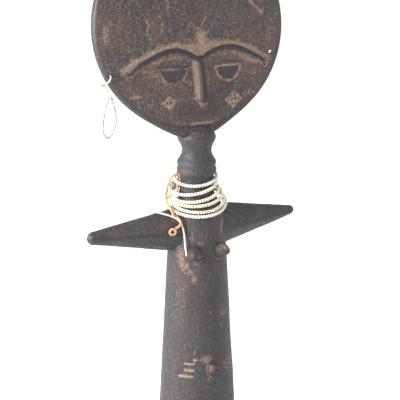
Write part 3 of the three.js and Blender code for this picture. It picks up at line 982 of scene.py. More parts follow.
@dataclass
class HeadDisc:
    """The leaning disc of the head, domed on both faces, with a soft chin."""

    radius: float = 64.0
    chin_drop: float = 6.0
    chin_spread: float = 18.5
    lean: float = 8.0
    rim_half: float = 3.7
    face_dome: float = 4.3
    back_dome: float = 2.2
    across: float = -2.7
    forward: float = 4.0
    chin_z: float = 219.8
    sides: int = 384
    ring_mm: float = 0.75
    ear_holes: tuple[tuple[Flat, float], ...] = (((-55.2, -25.8), 0.0), ((55.1, -20.2), 24.0))
    ear_hole_r: float = 1.2
    face: Face = field(default_factory=Face)

    def frame(self) -> Matrix:
        """Give the matrix of the head's own frame, in millimetres."""
        lean = math.radians(self.lean)
        right = Vector((1, 0, 0))
        up = Vector((0, math.sin(lean), math.cos(lean)))
        out = right.cross(up)
        centre = Vector((self.across, -self.forward, self.chin_z)) + up * (self.radius + self.chin_drop)
        frame = Matrix((right, up, out)).transposed().to_4x4()
        frame.translation = centre
        return frame

    def face_depth(self, reach: np.ndarray | float) -> np.ndarray | float:
        """Give the plain dome's height over the disc's middle plane, at a distance from its centre."""
        share = np.minimum(np.abs(reach) / self.radius, 1)
        return self.rim_half + self.face_dome * (1 - share * share)

    def build(self) -> bpy.types.Object:
        """Make the disc with its carved face.

        Returns:
            A closed mesh object, in metres.
        """
        turns = np.linspace(-math.pi, math.pi, self.sides, endpoint=False)
        angles = turns - 0.32 * np.sin(turns)
        flat_r = self.radius - self.rim_half
        front = np.arange(self.ring_mm, flat_r, self.ring_mm)
        rim = np.linspace(0.5, -0.5, 11) * math.pi
        back = np.linspace(flat_r, 4, 16)[1:]
        radii = np.concatenate([front, flat_r + self.rim_half * np.cos(rim), back])
        share = front / self.radius
        back_share = back / self.radius
        dome = self.face_dome * (1 - share * share) * soft_step(self.radius, flat_r - 9, front)
        depths = np.concatenate(
            [
                self.rim_half + dome,
                self.rim_half * np.sin(rim),
                -self.rim_half - self.back_dome * (1 - back_share * back_share),
            ]
        )
        depths[: len(front)] = np.maximum(depths[: len(front)], self.rim_half)
        r, a = np.meshgrid(radii, angles, indexing="ij")
        reach = 1 + (self.chin_drop / self.radius) * np.exp(-((np.degrees(a) / self.chin_spread) ** 2))
        x, y = (r * reach * np.sin(a)).ravel(), (-r * reach * np.cos(a)).ravel()
        z = np.repeat(depths, self.sides)
        on_face = np.repeat(np.arange(len(radii)) < len(front) + 2, self.sides)
        flat = np.stack([x, y], axis=1)
        points = np.stack([x, y, z], axis=1)
        tool = 0.22 * noise_at(points * (1, 0.45, 1), 3.2, 5.0) + 0.3 * noise_at(points, 17.0, 9.0)
        near_rim = 1 - 0.75 * soft_step(flat_r - 3, self.radius, np.hypot(x, y))
        z = z + np.where(z > 0, tool, -tool) * near_rim
        z = z + np.where(on_face, self.face.relief(flat), 0)
        shape = Shape()
        points = np.stack([x, y, z], axis=1)
        tips = np.array([(0, 0, points[: self.sides, 2].mean()), (0, 0, -self.rim_half - self.back_dome)])
        faces = [tuple(reversed(quad)) for quad in skin_rings(len(radii), self.sides)]
        top, bottom = len(points), len(points) + 1
        last = (len(radii) - 1) * self.sides
        for i in range(self.sides):
            j = (i + 1) % self.sides
            faces.append((top, i, j))
            faces.append((bottom, last + j, last + i))
        shape.add(np.vstack([points, tips]), faces)
        return shape.to_object("head", self.frame())


@dataclass(frozen=True)
class Mark:
    """A mark on the torso: its turn in degrees from the front, height, half sizes, and three amounts of colour."""

    turn: float
    height: float
    half: Flat
    bare: float
    red: float = 0.0
    black: float = 0.0


@dataclass
class Torso:
    """The turned body from the flat base to the flare under the head, cut by hand."""

    outline: tuple[Flat, ...] = (
        (27.0, 0.0),
        (26.0, 19.0),
        (25.0, 38.0),
        (22.9, 75.0),
        (20.9, 110.0),
        (19.2, 142.0),
        (17.9, 158.0),
        (17.1, 170.0),
        (16.2, 175.0),
        (13.8, 178.3),
        (11.8, 182.0),
        (10.8, 186.0),
        (10.5, 190.0),
        (10.7, 194.5),
        (12.2, 197.0),
        (12.8, 199.2),
        (11.9, 201.1),
        (12.4, 203.0),
        (12.3, 204.6),
        (10.9, 206.6),
        (9.6, 209.4),
        (9.3, 212.0),
        (10.3, 215.6),
        (12.1, 219.5),
        (11.0, 222.8),
        (6.0, 229.5),
    )
    sides: int = 144
    ring_mm: float = 1.45
    edge_r: float = 1.2
    breast_x: float = 9.0
    breast_z: float = 148.6
    breast_r: float = 4.9
    breast_out: float = 7.0
    navel_z: float = 70.3
    navel_r: float = 3.6
    navel_out: float = 3.6
    dimple_r: float = 1.5
    grooves: tuple[tuple[float, float, float], ...] = (
        (-38.0, 73.6, 5.8),
        (-37.5, 69.3, 6.4),
        (-44.5, 65.0, 9.6),
    )
    groove_half: float = 0.75
    groove_deep: float = 0.9
    strokes: tuple[tuple[float, float, float, float], ...] = (
        (25.0, 70.6, 58.0, 74.4),
        (28.0, 68.0, 60.0, 72.0),
        (22.0, 72.5, 46.0, 76.5),
        (32.0, 66.4, 62.0, 69.8),
    )
    marks: tuple[Mark, ...] = (
        Mark(-9.0, 77.4, (4.6, 3.6), 0.75, 0.25),
        Mark(-7.0, 71.0, (2.0, 4.5), 0.7, 0.3),
        Mark(-4.0, 64.8, (2.2, 2.0), 0.65, 0.7),
        Mark(-2.0, 61.8, (2.6, 0.8), 0.7, 0.6),
        Mark(-28.0, 77.0, (1.5, 1.1), 1.2),
        Mark(-29.0, 82.3, (1.6, 1.8), 0.55, 0.2),
        Mark(-40.0, 71.4, (6.2, 0.9), 0.4, 1.0),
        Mark(-40.0, 67.0, (6.2, 1.0), 0.5, 1.0),
        Mark(30.0, 106.0, (6.5, 2.6), 0.55, 0.35),
        Mark(22.0, 99.0, (2.4, 3.4), 0.5, 1.0),
        Mark(0.0, 108.6, (0.9, 0.7), 1.0),
        Mark(-12.0, 104.0, (1.0, 0.7), 0.7),
        Mark(-58.0, 147.0, (4.6, 6.5), 0.62, 0.55),
        Mark(-52.0, 139.5, (4.8, 5.0), 0.58, 0.3),
        Mark(-38.0, 136.0, (4.0, 3.6), 0.5, 0.35),
        Mark(-31.0, 131.0, (2.4, 3.2), 0.72, 0.7),
        Mark(-24.0, 141.5, (3.4, 1.4), 0.62, 0.5),
        Mark(-36.0, 158.0, (2.4, 3.6), 0.45, 1.0),
        Mark(-10.0, 160.0, (3.8, 4.0), 0.36, 1.0),
        Mark(-14.0, 155.0, (3.0, 1.8), 0.5, 0.4),
        Mark(40.0, 163.5, (1.8, 6.4), 0.72, 0.35),
        Mark(33.0, 160.0, (1.6, 4.8), 0.5, 0.7),
        Mark(28.0, 151.5, (2.6, 3.4), 0.6, 0.3),
        Mark(22.0, 143.0, (2.8, 1.6), 0.55, 0.3),
        Mark(-20.0, 147.0, (2.0, 1.2), 0.6, 0.3),
        # A painted highlight: a tall band of lighter, reddish wood down the body's left side, where the light from
        # the left makes a sheen.
        Mark(-66.0, 120.0, (2.6, 14.0), 0.3, 0.8),
        Mark(10.0, 92.0, (7.0, 3.0), 0.12, 0.0, 0.3),
        Mark(6.0, 79.0, (4.5, 4.0), 0.0, 0.0, 0.45),
        Mark(16.0, 66.0, (3.0, 3.0), 0.0, 0.0, 0.5),
        Mark(6.0, 55.0, (2.4, 1.2), 0.5, 0.6),
        Mark(-4.0, 122.0, (6.0, 9.0), 0.0, 0.0, 0.25),
    )

    def radius_at(self, height: float) -> float:
        """Give the body's plain radius at a height."""
        heights = [z for _, z in self.outline]
        return float(np.interp(height, heights, [r for r, _ in self.outline]))

    def build(self) -> bpy.types.Object:
        """Make the turned body, with its shallow adze facets and its cut grooves.

        Returns:
            A closed mesh object, in metres.
        """
        line = smooth_path([(r, 0.0, z) for r, z in self.outline], self.ring_mm)
        foot = self.outline[0][0]
        edge = [(foot - self.edge_r, 0.0), (foot - 0.3 * self.edge_r, 0.35 * self.edge_r)]
        rings = edge + [(r, z) for r, _, z in line if z > self.edge_r]
        radii = np.array([r for r, _ in rings])
        heights = np.array([z for _, z in rings])
        turns = np.linspace(0, 2 * math.pi, self.sides, endpoint=False)
        r, a = np.meshgrid(radii, turns, indexing="ij")
        z = np.repeat(heights, self.sides)
        r, a = r.ravel(), a.ravel()
        plain = np.stack([r * np.sin(a), -r * np.cos(a), z], axis=1)
        broad, fine = noise_at(plain * (1, 1, 0.22), 7.5, 2.0), noise_at(plain * (1, 1, 0.5), 2.4, 8.0)
        facets = 0.32 * broad + 0.1 * fine
        r = r + facets * soft_step(0.0, 4.0, z)
        around = np.degrees((a + math.pi) % (2 * math.pi) - math.pi)
        r = r + self.relief(around, z)
        points = np.stack([r * np.sin(a), -r * np.cos(a), z], axis=1)
        faces = skin_rings(len(rings), self.sides)
        faces.append(tuple(reversed(range(self.sides))))
        last = (len(rings) - 1) * self.sides
        faces.append(tuple(range(last, last + self.sides)))
        shape = Shape()
        shape.add(points, faces)
        return shape.to_object("torso")

    def flat_from(self, around: np.ndarray, height: np.ndarray) -> np.ndarray:
        """Unroll turns and heights into flat (x, y) rows in mm, measured round the body."""
        return np.stack([np.radians(around) * np.interp(height, *self.plain_line()), height], axis=1)

    def plain_line(self) -> tuple[list[float], list[float]]:
        """Give the heights and radii of the outline, for interpolation."""
        return [z for _, z in self.outline], [r for r, _ in self.outline]

    def groove_line(self, turn: float, height: float, length: float) -> np.ndarray:
        """Give a groove's two ends on the unrolled surface."""
        middle = math.radians(turn) * self.radius_at(height)
        return np.array([(middle - length / 2, height), (middle + length / 2, height + 0.15)])

    def relief(self, around: np.ndarray, height: np.ndarray) -> np.ndarray:
        """Work out how far the grooves and strokes are cut into the body, in mm."""
        flat = self.flat_from(around, height)
        cut = np.zeros(len(flat))
        for groove in self.grooves:
            far, _ = distance_to_line(flat, self.groove_line(*groove))
            cut = cut - self.groove_deep * np.exp(-((far / self.groove_half) ** 2))
        for a0, z0, a1, z1 in self.strokes:
            ends = self.flat_from(np.array([a0, a1]), np.array([z0, z1]))
            far, _ = distance_to_line(flat, ends)
            cut = cut - 0.3 * np.exp(-((far / 0.5) ** 2))
        return cut

    def masks(self, points: np.ndarray) -> dict[str, np.ndarray]:
        """Work out where the body is black, rubbed and reddish, and where a highlight is painted as lighter,
        reddish wood down its left side.

        Args:
            points: positions in mm in the doll's frame.

        Returns:
            The ridge mask, the wear mask with the painted highlight in it, and the warm mask.
        """
        around = np.degrees(np.arctan2(points[:, 0], -points[:, 1]))
        flat = self.flat_from(around, points[:, 2])
        wear_and_highlight = np.zeros(len(points))
        warm = np.zeros(len(points))
        ridge = np.zeros(len(points))
        blur = noise_at(points, 3.0, 6.0)
        for mark in self.marks:
            middle = math.radians(mark.turn) * self.radius_at(mark.height)
            across, up = (flat[:, 0] - middle) / mark.half[0], (flat[:, 1] - mark.height) / mark.half[1]
            away = across**2 + up**2
            near = np.exp(-(away ** (0.9 + 0.4 * blur)))
            warm = np.where(mark.bare * near > 0.8 * wear_and_highlight, mark.red * near, warm)
            wear_and_highlight = np.maximum(wear_and_highlight, mark.bare * near)
            ridge = np.maximum(ridge, mark.black * near)
        for groove in self.grooves:
            line = self.groove_line(*groove)
            far, _ = distance_to_line(flat, line + (0, 0.35))
            wear_and_highlight = np.maximum(wear_and_highlight, 1.1 * np.exp(-((far / 0.85) ** 2)))
            under, _ = distance_to_line(flat, line - (0, 0.9))
            ridge = np.maximum(ridge, 0.7 * np.exp(-((under / 0.5) ** 2)) * (far > 0.7))
        for a0, z0, a1, z1 in self.strokes:
            ends = self.flat_from(np.array([a0, a1]), np.array([z0, z1]))
            far, _ = distance_to_line(flat, ends)
            wear_and_highlight = np.maximum(wear_and_highlight, 0.75 * np.exp(-((far / 0.5) ** 2)))
        return {"ridge": ridge, "wear_and_highlight": wear_and_highlight, "warm": warm}

    def knob(
        self, name: str, turn: float, height: float, radius: float, out: float, tip: float
    ) -> bpy.types.Object:
        """Make a rounded knob that stands out of the body.

        Args:
            name: the mesh's name.
            turn: where it stands, in degrees round from the front.
            height: the height of its middle.
            radius: its radius at its root.
            out: how far it stands out.
            tip: how full its end is, from a cone at 0 to a dome at 1.

        Returns:
            The mesh object.
        """
        sides, steps = 40, 16
        angles = np.arange(sides) * 2 * math.pi / sides
        rings = []
        for share in np.linspace(0, 1, steps + 1)[:-1]:
            dome = math.sqrt(1 - share * share)
            cone = 1 - share
            rings.append((radius * (tip * dome + (1 - tip) * cone), share * out))
        rings.insert(0, (radius, -3.0))
        points = [
            np.stack([r * np.cos(angles), np.full(sides, -depth), r * np.sin(angles)], axis=1)
            for r, depth in rings
        ]
        points = np.vstack([*points, [(0, -out, 0)]])
        points = points + 0.12 * noise_at(points, 2.2, radius)[:, None]
        faces = [tuple(reversed(quad)) for quad in skin_rings(len(rings), sides)]
        faces.append(tuple(range(sides)))
        last = (len(rings) - 1) * sides
        faces.extend((len(points) - 1, last + (i + 1) % sides, last + i) for i in range(sides))
        shape = Shape()
        shape.add(points, faces)
        face = Matrix.Translation((0, -self.radius_at(height), height))
        seat = Matrix.Rotation(math.radians(turn), 4, "Z") @ face
        return shape.to_object(name, seat)


@dataclass(frozen=True)
class Arm:
    """A stub arm: its side of the doll, its length from the middle and the radius of its blunt tip."""

    side: int
    length: float
    tip: float
    root_r: float = 14.1
    root_x: float = 17.0
    start: float = 6.0
    depth: float = 0.85
    height: float = 160.0
    lift: float = 2.0
    pinch: float = 0.13

    def build(self) -> bpy.types.Object:
        """Make the arm as a tapering diamond-like form with softened ridges.

        Returns:
            A closed mesh object, in metres.
        """
        slope = (self.root_r - self.tip) / (self.length - self.tip - self.root_x)
        runs = np.linspace(self.start, self.length - self.tip, 44)
        radii = self.root_r + slope * (self.root_x - runs)
        bend = np.linspace(0, math.pi / 2, 9)[1:-1]
        runs = np.concatenate([runs, self.length - self.tip + self.tip * np.sin(bend)])
        radii = np.concatenate([radii, self.tip * np.cos(bend)])
        sides = 72
        angles = np.arange(sides) * 2 * math.pi / sides
        r, a = np.meshgrid(radii, angles, indexing="ij")
        x = np.repeat(runs, sides)
        r, a = r.ravel(), a.ravel()
        section = 1 - self.pinch * np.abs(np.sin(2 * a)) ** 1.3
        points = np.stack([x, -r * section * self.depth * np.cos(a), r * section * np.sin(a)], axis=1)
        broad = noise_at(points * (0.3, 1, 1), 5.0, 11.0 + self.side)
        facets = 0.22 * broad + 0.08 * noise_at(points, 1.9, 4.0)
        points[:, 1:] += facets[:, None] * np.stack([-np.cos(a), np.sin(a)], axis=1)
        points = np.vstack([points, [(self.length, 0, 0)]])
        faces = skin_rings(len(runs), sides)
        faces.append(tuple(reversed(range(sides))))
        last = (len(runs) - 1) * sides
        faces.extend((len(points) - 1, last + i, last + (i + 1) % sides) for i in range(sides))
        if self.side < 0:
            points[:, 0] *= -1
        else:
            faces = [tuple(reversed(face)) for face in faces]
        shape = Shape()
        shape.add(points, faces)
        tilt = Matrix.Rotation(-self.side * math.radians(self.lift), 4, "Y")
        return shape.to_object(f"arm_{self.side}", Matrix.Translation((0, 0, self.height)) @ tilt)


@dataclass
class CarvedFigure:
    """The doll's one piece of wood: head, body, arms, breasts and navel."""

    head: HeadDisc = field(default_factory=HeadDisc)
    torso: Torso = field(default_factory=Torso)
    arms: tuple[Arm, ...] = (Arm(-1, 75.0, 4.4), Arm(1, 70.0, 3.4))

    def build(self) -> bpy.types.Object:
        """Join the carved masses and cut the ear holes and the navel's dimple.

        Returns:
            The figure as one closed mesh.
        """
        torso = self.torso
        turn = math.degrees(math.asin(torso.breast_x / torso.radius_at(torso.breast_z)))
        whole = torso.build()
        parts = [self.head.build(), *(arm.build() for arm in self.arms)]
        for side in (-1, 1):
            breast = torso.knob("breast", side * turn, torso.breast_z, torso.breast_r, torso.breast_out, 0.72)
            parts.append(breast)
        parts.append(torso.knob("navel", 4.0, torso.navel_z, torso.navel_r, torso.navel_out, 0.9))
        dimple = torso.knob("dimple", 4.0, torso.navel_z, torso.dimple_r, torso.navel_out + 2, 1.0)
        cuts = [self.drill(hole, slant) for hole, slant in self.head.ear_holes]
        for part in parts:
            self.combine(whole, part, "UNION")
        self.push_out(dimple, torso.navel_out * 0.55)
        for cut in [*cuts, dimple]:
            self.combine(whole, cut, "DIFFERENCE")
        whole.name = "carved_doll"
        whole.data.polygons.foreach_set("use_smooth", [True] * len(whole.data.polygons))
        whole.data.set_sharp_from_angle(angle=math.radians(50))
        return whole

    def push_out(self, piece: bpy.types.Object, by: float) -> None:
        """Move a piece's points towards the front, in mm."""
        piece.data.transform(Matrix.Translation((0, -by * MM, 0)))

    def drill(self, hole: Flat, slant: float) -> bpy.types.Object:
        """Make the drill that cuts an ear hole through the disc.

        Args:
            hole: the hole's place on the disc.
            slant: how many degrees the drill leans to the doll's right at the front.

        Returns:
            The drill, as a closed mesh.
        """
        sides, half = 24, 4 * self.head.rim_half
        angles = np.arange(sides) * 2 * math.pi / sides
        ring = self.head.ear_hole_r * np.stack([np.cos(angles), np.sin(angles)], axis=1) + np.array(hole)
        drift = np.array([-math.tan(math.radians(slant)), 0.0])
        points = np.vstack([np.column_stack([ring + drift * z, np.full(sides, z)]) for z in (-half, half)])
        faces = skin_rings(2, sides) + [tuple(reversed(range(sides))), tuple(range(sides, 2 * sides))]
        shape = Shape()
        shape.add(points, faces)
        return shape.to_object("ear_drill", self.head.frame())

    def combine(self, whole: bpy.types.Object, part: bpy.types.Object, how: str) -> None:
        """Join a part to the whole or cut it away, and drop the part.

        Args:
            whole: the object that changes.
            part: the object that is joined or cut away.
            how: UNION or DIFFERENCE.
        """
        step = whole.modifiers.new(how, "BOOLEAN")
        step.operation = how
        step.object = part
        step.solver = "MANIFOLD"
        bpy.context.view_layer.update()
        evaluated = whole.evaluated_get(bpy.context.evaluated_depsgraph_get())
        made = bpy.data.meshes.new_from_object(evaluated)
        whole.modifiers.clear()
        whole.data = made
        bpy.data.objects.remove(part)

    def mark_surface(self, figure: bpy.types.Object) -> None:
        """Write the figure's masks onto its points: ridge (with the shadow painted along the eyelids), wear (with
        the highlight painted down the body's left side), warm and rough.
        """
        mesh = figure.data
        co = np.zeros(len(mesh.vertices) * 3)
        mesh.vertices.foreach_get("co", co)
        points = co.reshape(-1, 3) / MM
        place = np.array(self.head.frame().inverted())
        local = points @ place[:3, :3].T + place[:3, 3]
        on_head = np.abs(local[:, 2]) < 3 * self.head.rim_half
        on_head &= np.hypot(local[:, 0], local[:, 1]) < self.head.radius + self.head.chin_drop + 1
        on_head &= points[:, 2] > self.head.chin_z - 1
        in_front = on_head & (local[:, 2] > 0.5)
        masks = {name: np.zeros(len(points)) for name in ("ridge", "wear_and_highlight", "warm")}
        for name, values in self.head.face.masks(local[in_front][:, :2], points[in_front]).items():
            masks[name][in_front] = values
        body = ~on_head & (np.abs(points[:, 0]) < 19)
        for name, values in self.torso.masks(points[body]).items():
            masks[name][body] = values
        self.mark_arms(points, ~on_head, masks)
        rubbed = noise_at(points, 9.0, 21.0)
        masks["wear_and_highlight"] = np.maximum(masks["wear_and_highlight"], 0.22 * soft_step(0.2, 0.7, rubbed) * on_head)
        masks["rough"] = np.where(on_head, 0.78, 0.36) + 0.22 * noise_at(points, 12.0, 30.0)
        rim = on_head & (np.hypot(local[:, 0], local[:, 1]) > self.head.radius - 2.6)
        masks["ridge"] = np.where(rim, np.maximum(masks["ridge"], 0.6), masks["ridge"])
        for name, values in masks.items():
            layer = mesh.attributes.new(name, "FLOAT", "POINT")
            layer.data.foreach_set("value", values.astype(np.float32))

    def mark_arms(self, points: np.ndarray, free: np.ndarray, masks: dict[str, np.ndarray]) -> None:
        """Darken the arms' front ridges and bare their chipped tips."""
        for arm in self.arms:
            out = arm.side * points[:, 0]
            axis_z = arm.height + np.tan(math.radians(arm.lift)) * out
            on_arm = free & (out > 17.5) & (np.abs(points[:, 2] - axis_z) < 16)
            front = on_arm & (points[:, 1] < 0)
            line = np.exp(-(((points[:, 2] - axis_z) / 1.2) ** 2))
            masks["ridge"] = np.where(front, np.maximum(masks["ridge"], 0.7 * line), masks["ridge"])
            tip = soft_step(arm.length - 3.2, arm.length - 0.6, out) * on_arm
            chips = noise_at(points, 2.0, 40.0 + arm.side)
            bareness = 1.15 if arm.side < 0 else 0.5
            masks["wear_and_highlight"] = np.maximum(masks["wear_and_highlight"], bareness * tip * soft_step(-0.2, 0.3, chips))
            spots = soft_step(0.45, 0.62, noise_at(points, 3.4, 50.0)) * on_arm
            masks["wear_and_highlight"] = np.maximum(masks["wear_and_highlight"], 0.5 * spots)

    def dress(self, wood: bpy.types.Material) -> bpy.types.Object:
        """Build the figure, mark it, give it its wood and tie it to the frame.

        Args:
            wood: the figure's material.

        Returns:
            The finished piece.
        """
        figure = self.build()
        self.mark_surface(figure)
        figure.data.materials.clear()
        figure.data.materials.append(wood)
        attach(figure, "figure")
        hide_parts("carved_figure")
        return figure


# ---------------------------------------------------------------- beads and threads


@dataclass(frozen=True)
class Strand:
    """One neck strand: its centre, its ring's radius, its tilts, and the share of ivory beads on it."""

    at: Point
    radius: float
    forward: float
    side: float
    ivory: float

    def frame(self) -> Matrix:
        """Give the matrix of the ring's own plane, in millimetres."""
        forward = Matrix.Rotation(math.radians(self.forward), 4, "X")
        tilt = Matrix.Rotation(math.radians(-self.side), 4, "Y") @ forward
        return Matrix.Translation(self.at) @ tilt


@dataclass
class NeckStrands:
    """Six strands of seed beads at the neck, each knotted at the back."""

    strands: tuple[Strand, ...] = (
        Strand((-0.4, 0.9, 193.6), 13.4, 9.5, 6.9, 0.10),
        Strand((-2.6, 0.6, 188.8), 15.0, 5.6, 10.7, 0.35),
        Strand((-2.5, -1.6, 185.1), 15.5, 8.0, 9.5, 0.55),
        Strand((-2.7, -1.0, 183.6), 17.8, 11.4, 4.6, 0.60),
        Strand((-1.1, -0.9, 179.9), 17.5, 14.7, 2.4, 0.35),
        Strand((-1.0, 0.4, 178.4), 19.6, 17.0, 2.5, 0.25),
    )
    bead: Bead = Bead(radius=1.15, length=1.58, bore=0.45)
    pitch: float = 1.72
    gap: float = 3.4
    thread: Ply = Ply(radius=0.24, yarns=2, lay=1.6)
    knot_r: float = 0.55

    def arc(self, strand: Strand, gap: float, step: float) -> np.ndarray:
        """Give points along a strand's ring, open at the back by a gap.

        Args:
            strand: the strand.
            gap: the opening's length, in mm.
            step: the distance between points.

        Returns:
            The points in the ring's own plane.
        """
        half = gap / (2 * strand.radius)
        count = round(2 * (math.pi - half) * strand.radius / step)
        angles = math.pi / 2 + half + np.linspace(0, 1, count + 1) * 2 * (math.pi - half)
        return strand.radius * np.stack([np.cos(angles), np.sin(angles), 0 * angles], axis=1)

    def build_beads(self, strand: Strand, number: int) -> bpy.types.Object:
        """Thread one strand's beads, no two quite alike.

        Args:
            strand: the strand.
            number: its number from the top, which also seeds its variety.

        Returns:
            The beads as one mesh.
        """
        chance = np.random.default_rng(100 + number)
        line = self.arc(strand, self.gap, self.pitch)
        shape = Shape()
        for here, there in zip(line, line[1:]):
            ivory = chance.random() < strand.ivory
            tone = 0.55 + 0.45 * chance.random() if ivory else 0.3 * chance.random()
            way = there - here + chance.normal(0, 0.09, 3)
            self.bead.thread_on(shape, (here + there) / 2, way, tone, chance.uniform(0.93, 1.0))
        return shape.to_object(f"seed_beads_{number}", strand.frame())

    def build_thread(self, strand: Strand, number: int) -> bpy.types.Object:
        """Lay one strand's thread through its beads, and tie it in a small knot at the back."""
        shape = Shape()
        sweep_cord(shape, self.arc(strand, 0.6, 0.6), self.thread)
        shape_knot(shape, np.array((0, strand.radius, 0)), self.knot_r, self.thread)
        return shape.to_object(f"strand_thread_{number}", strand.frame())

    def dress(self, glass: bpy.types.Material, cotton: bpy.types.Material) -> list[bpy.types.Object]:
        """Build every strand and tie it to its own turning body.

        Args:
            glass: the beads' material.
            cotton: the threads' material.

        Returns:
            The finished pieces.
        """
        made = []
        for number, strand in enumerate(self.strands, 1):
            beads, thread = self.build_beads(strand, number), self.build_thread(strand, number)
            for piece, stuff, node, slot in (
                (beads, glass, "neck_beads", "seed_beads"),
                (thread, cotton, "neck_thread", "cream_thread"),
            ):
                piece.data.materials.append(stuff)
                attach(piece, f"strand_{number}")
                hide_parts(f"{node}_{number}")
                made.append(piece)
        return made


def shape_knot(shape: Shape, centre: np.ndarray, radius: float, ply: Ply) -> None:
    """Add a small overhand knot: one cord run as a tight trefoil.

    Args:
        shape: the mesh that gets the knot.
        centre: the knot's middle.
        radius: how far its lobes reach, less the cord.
        ply: the cord that it is tied in.
    """
    t = np.linspace(0, 2 * math.pi, 72, endpoint=False)
    trefoil = np.stack(
        [np.sin(t) + 2 * np.sin(2 * t), np.cos(t) - 2 * np.cos(2 * t), -1.1 * np.sin(3 * t)], axis=1
    )
    sweep_cord(shape, centre + trefoil * radius / 3, ply, closed=True)


@dataclass
class BundleTie:
    """The tan cotton cord round all six strands, with its tail curled at the end."""

    ply: Ply = Ply(radius=0.78, yarns=3, lay=4.2, depth=0.24)
    loop: tuple[Point, ...] = (
        (-20.4, -9.0, 173.4),
        (-21.1, -8.0, 176.0),
        (-21.8, -6.1, 178.5),
        (-22.8, -3.9, 181.1),
        (-22.4, -1.5, 183.8),
        (-20.9, 0.8, 185.9),
        (-19.5, 2.6, 188.0),
        (-18.0, 3.8, 190.1),
        (-16.7, 4.3, 192.2),
        (-15.5, 4.4, 194.4),
        (-13.5, 4.0, 195.5),
        (-11.5, 3.7, 194.6),
        (-11.5, 3.6, 190.4),
        (-12.2, 2.6, 188.4),
        (-12.9, 1.3, 186.3),
        (-13.6, -0.2, 184.1),
        (-14.2, -1.9, 181.8),
        (-14.7, -3.5, 179.6),
        (-15.3, -5.1, 177.2),
        (-16.3, -6.4, 175.0),
        (-16.8, -7.3, 172.7),
        (-18.6, -8.5, 172.1),
    )
    tail: tuple[Point, ...] = (
        (-18.4, -8.7, 172.0),
        (-17.5, -9.9, 171.2),
        (-16.8, -11.6, 169.9),
        (-16.5, -12.0, 168.2),
        (-17.9, -12.3, 166.6),
        (-20.6, -12.0, 164.8),
    )
    curl_r: float = 2.1
    curl_turn: float = 12.0
    curl_fall: float = 35.0

    def curl(self) -> np.ndarray:
        """Give the points of the tail's end, wound once and a quarter round beside the tail's last point."""
        x, y, z = self.tail[-1]
        turn, fall = math.radians(self.curl_turn), math.radians(self.curl_fall)
        x, z = x - self.curl_r * math.cos(fall), z - self.curl_r * math.sin(fall)
        angles = fall - np.linspace(0, 2.35 * math.pi, 44)
        reach = self.curl_r * (1 - 0.2 * np.linspace(0, 1, 44))
        across = reach * np.cos(angles)
        lift = -0.9 * np.linspace(0, 1, 44)
        return np.stack(
            [
                x + across * math.cos(turn) + lift * math.sin(turn),
                y - across * math.sin(turn) + lift * math.cos(turn),
                z + reach * np.sin(angles),
            ],
            axis=1,
        )

    def dress(self, cotton: bpy.types.Material) -> bpy.types.Object:
        """Build the tie, give it its cotton and tie it to the frame."""
        shape = Shape()
        sweep_cord(shape, smooth_path(list(self.loop), 0.45, closed=True), self.ply, closed=True)
        tail = smooth_path([*self.tail, *map(tuple, self.curl()[4::5])], 0.4)
        sweep_cord(shape, tail, self.ply)
        tie = shape.to_object("tan_cord_tie")
        tie.data.materials.append(cotton)
        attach(tie, "figure")
        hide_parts("bundle_tie")
        return tie


@dataclass
class LooseThread:
    """The white thread from behind the strands, over the doll's right shoulder and down its chest."""

    ply: Ply = Ply(radius=0.6, yarns=2, lay=3.4, depth=0.22)
    stops: tuple[Point, ...] = (
        (-14.7, 9.6, 173.6),
        (-19.6, 8.0, 170.2),
        (-23.2, 7.3, 170.3),
        (-26.2, 5.7, 171.3),
        (-28.6, 3.5, 172.7),
        (-29.2, 0.9, 173.7),
        (-27.5, -1.1, 173.7),
        (-23.5, -4.6, 172.8),
        (-20.1, -6.4, 171.6),
        (-17.8, -8.0, 170.4),
        (-16.3, -9.6, 168.7),
        (-15.5, -11.4, 166.3),
        (-14.9, -13.0, 161.6),
        (-14.7, -14.3, 153.8),
        (-14.3, -15.7, 147.3),
    )

    def dress(self, cotton: bpy.types.Material) -> bpy.types.Object:
        line = smooth_path(list(self.stops), 0.4)
        shape = Shape()
        sweep_cord(shape, line, self.ply)
        thread = shape.to_object("loose_white_thread")
        thread.data.materials.append(cotton)
        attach(thread, "figure")
        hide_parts("white_thread")
        return thread


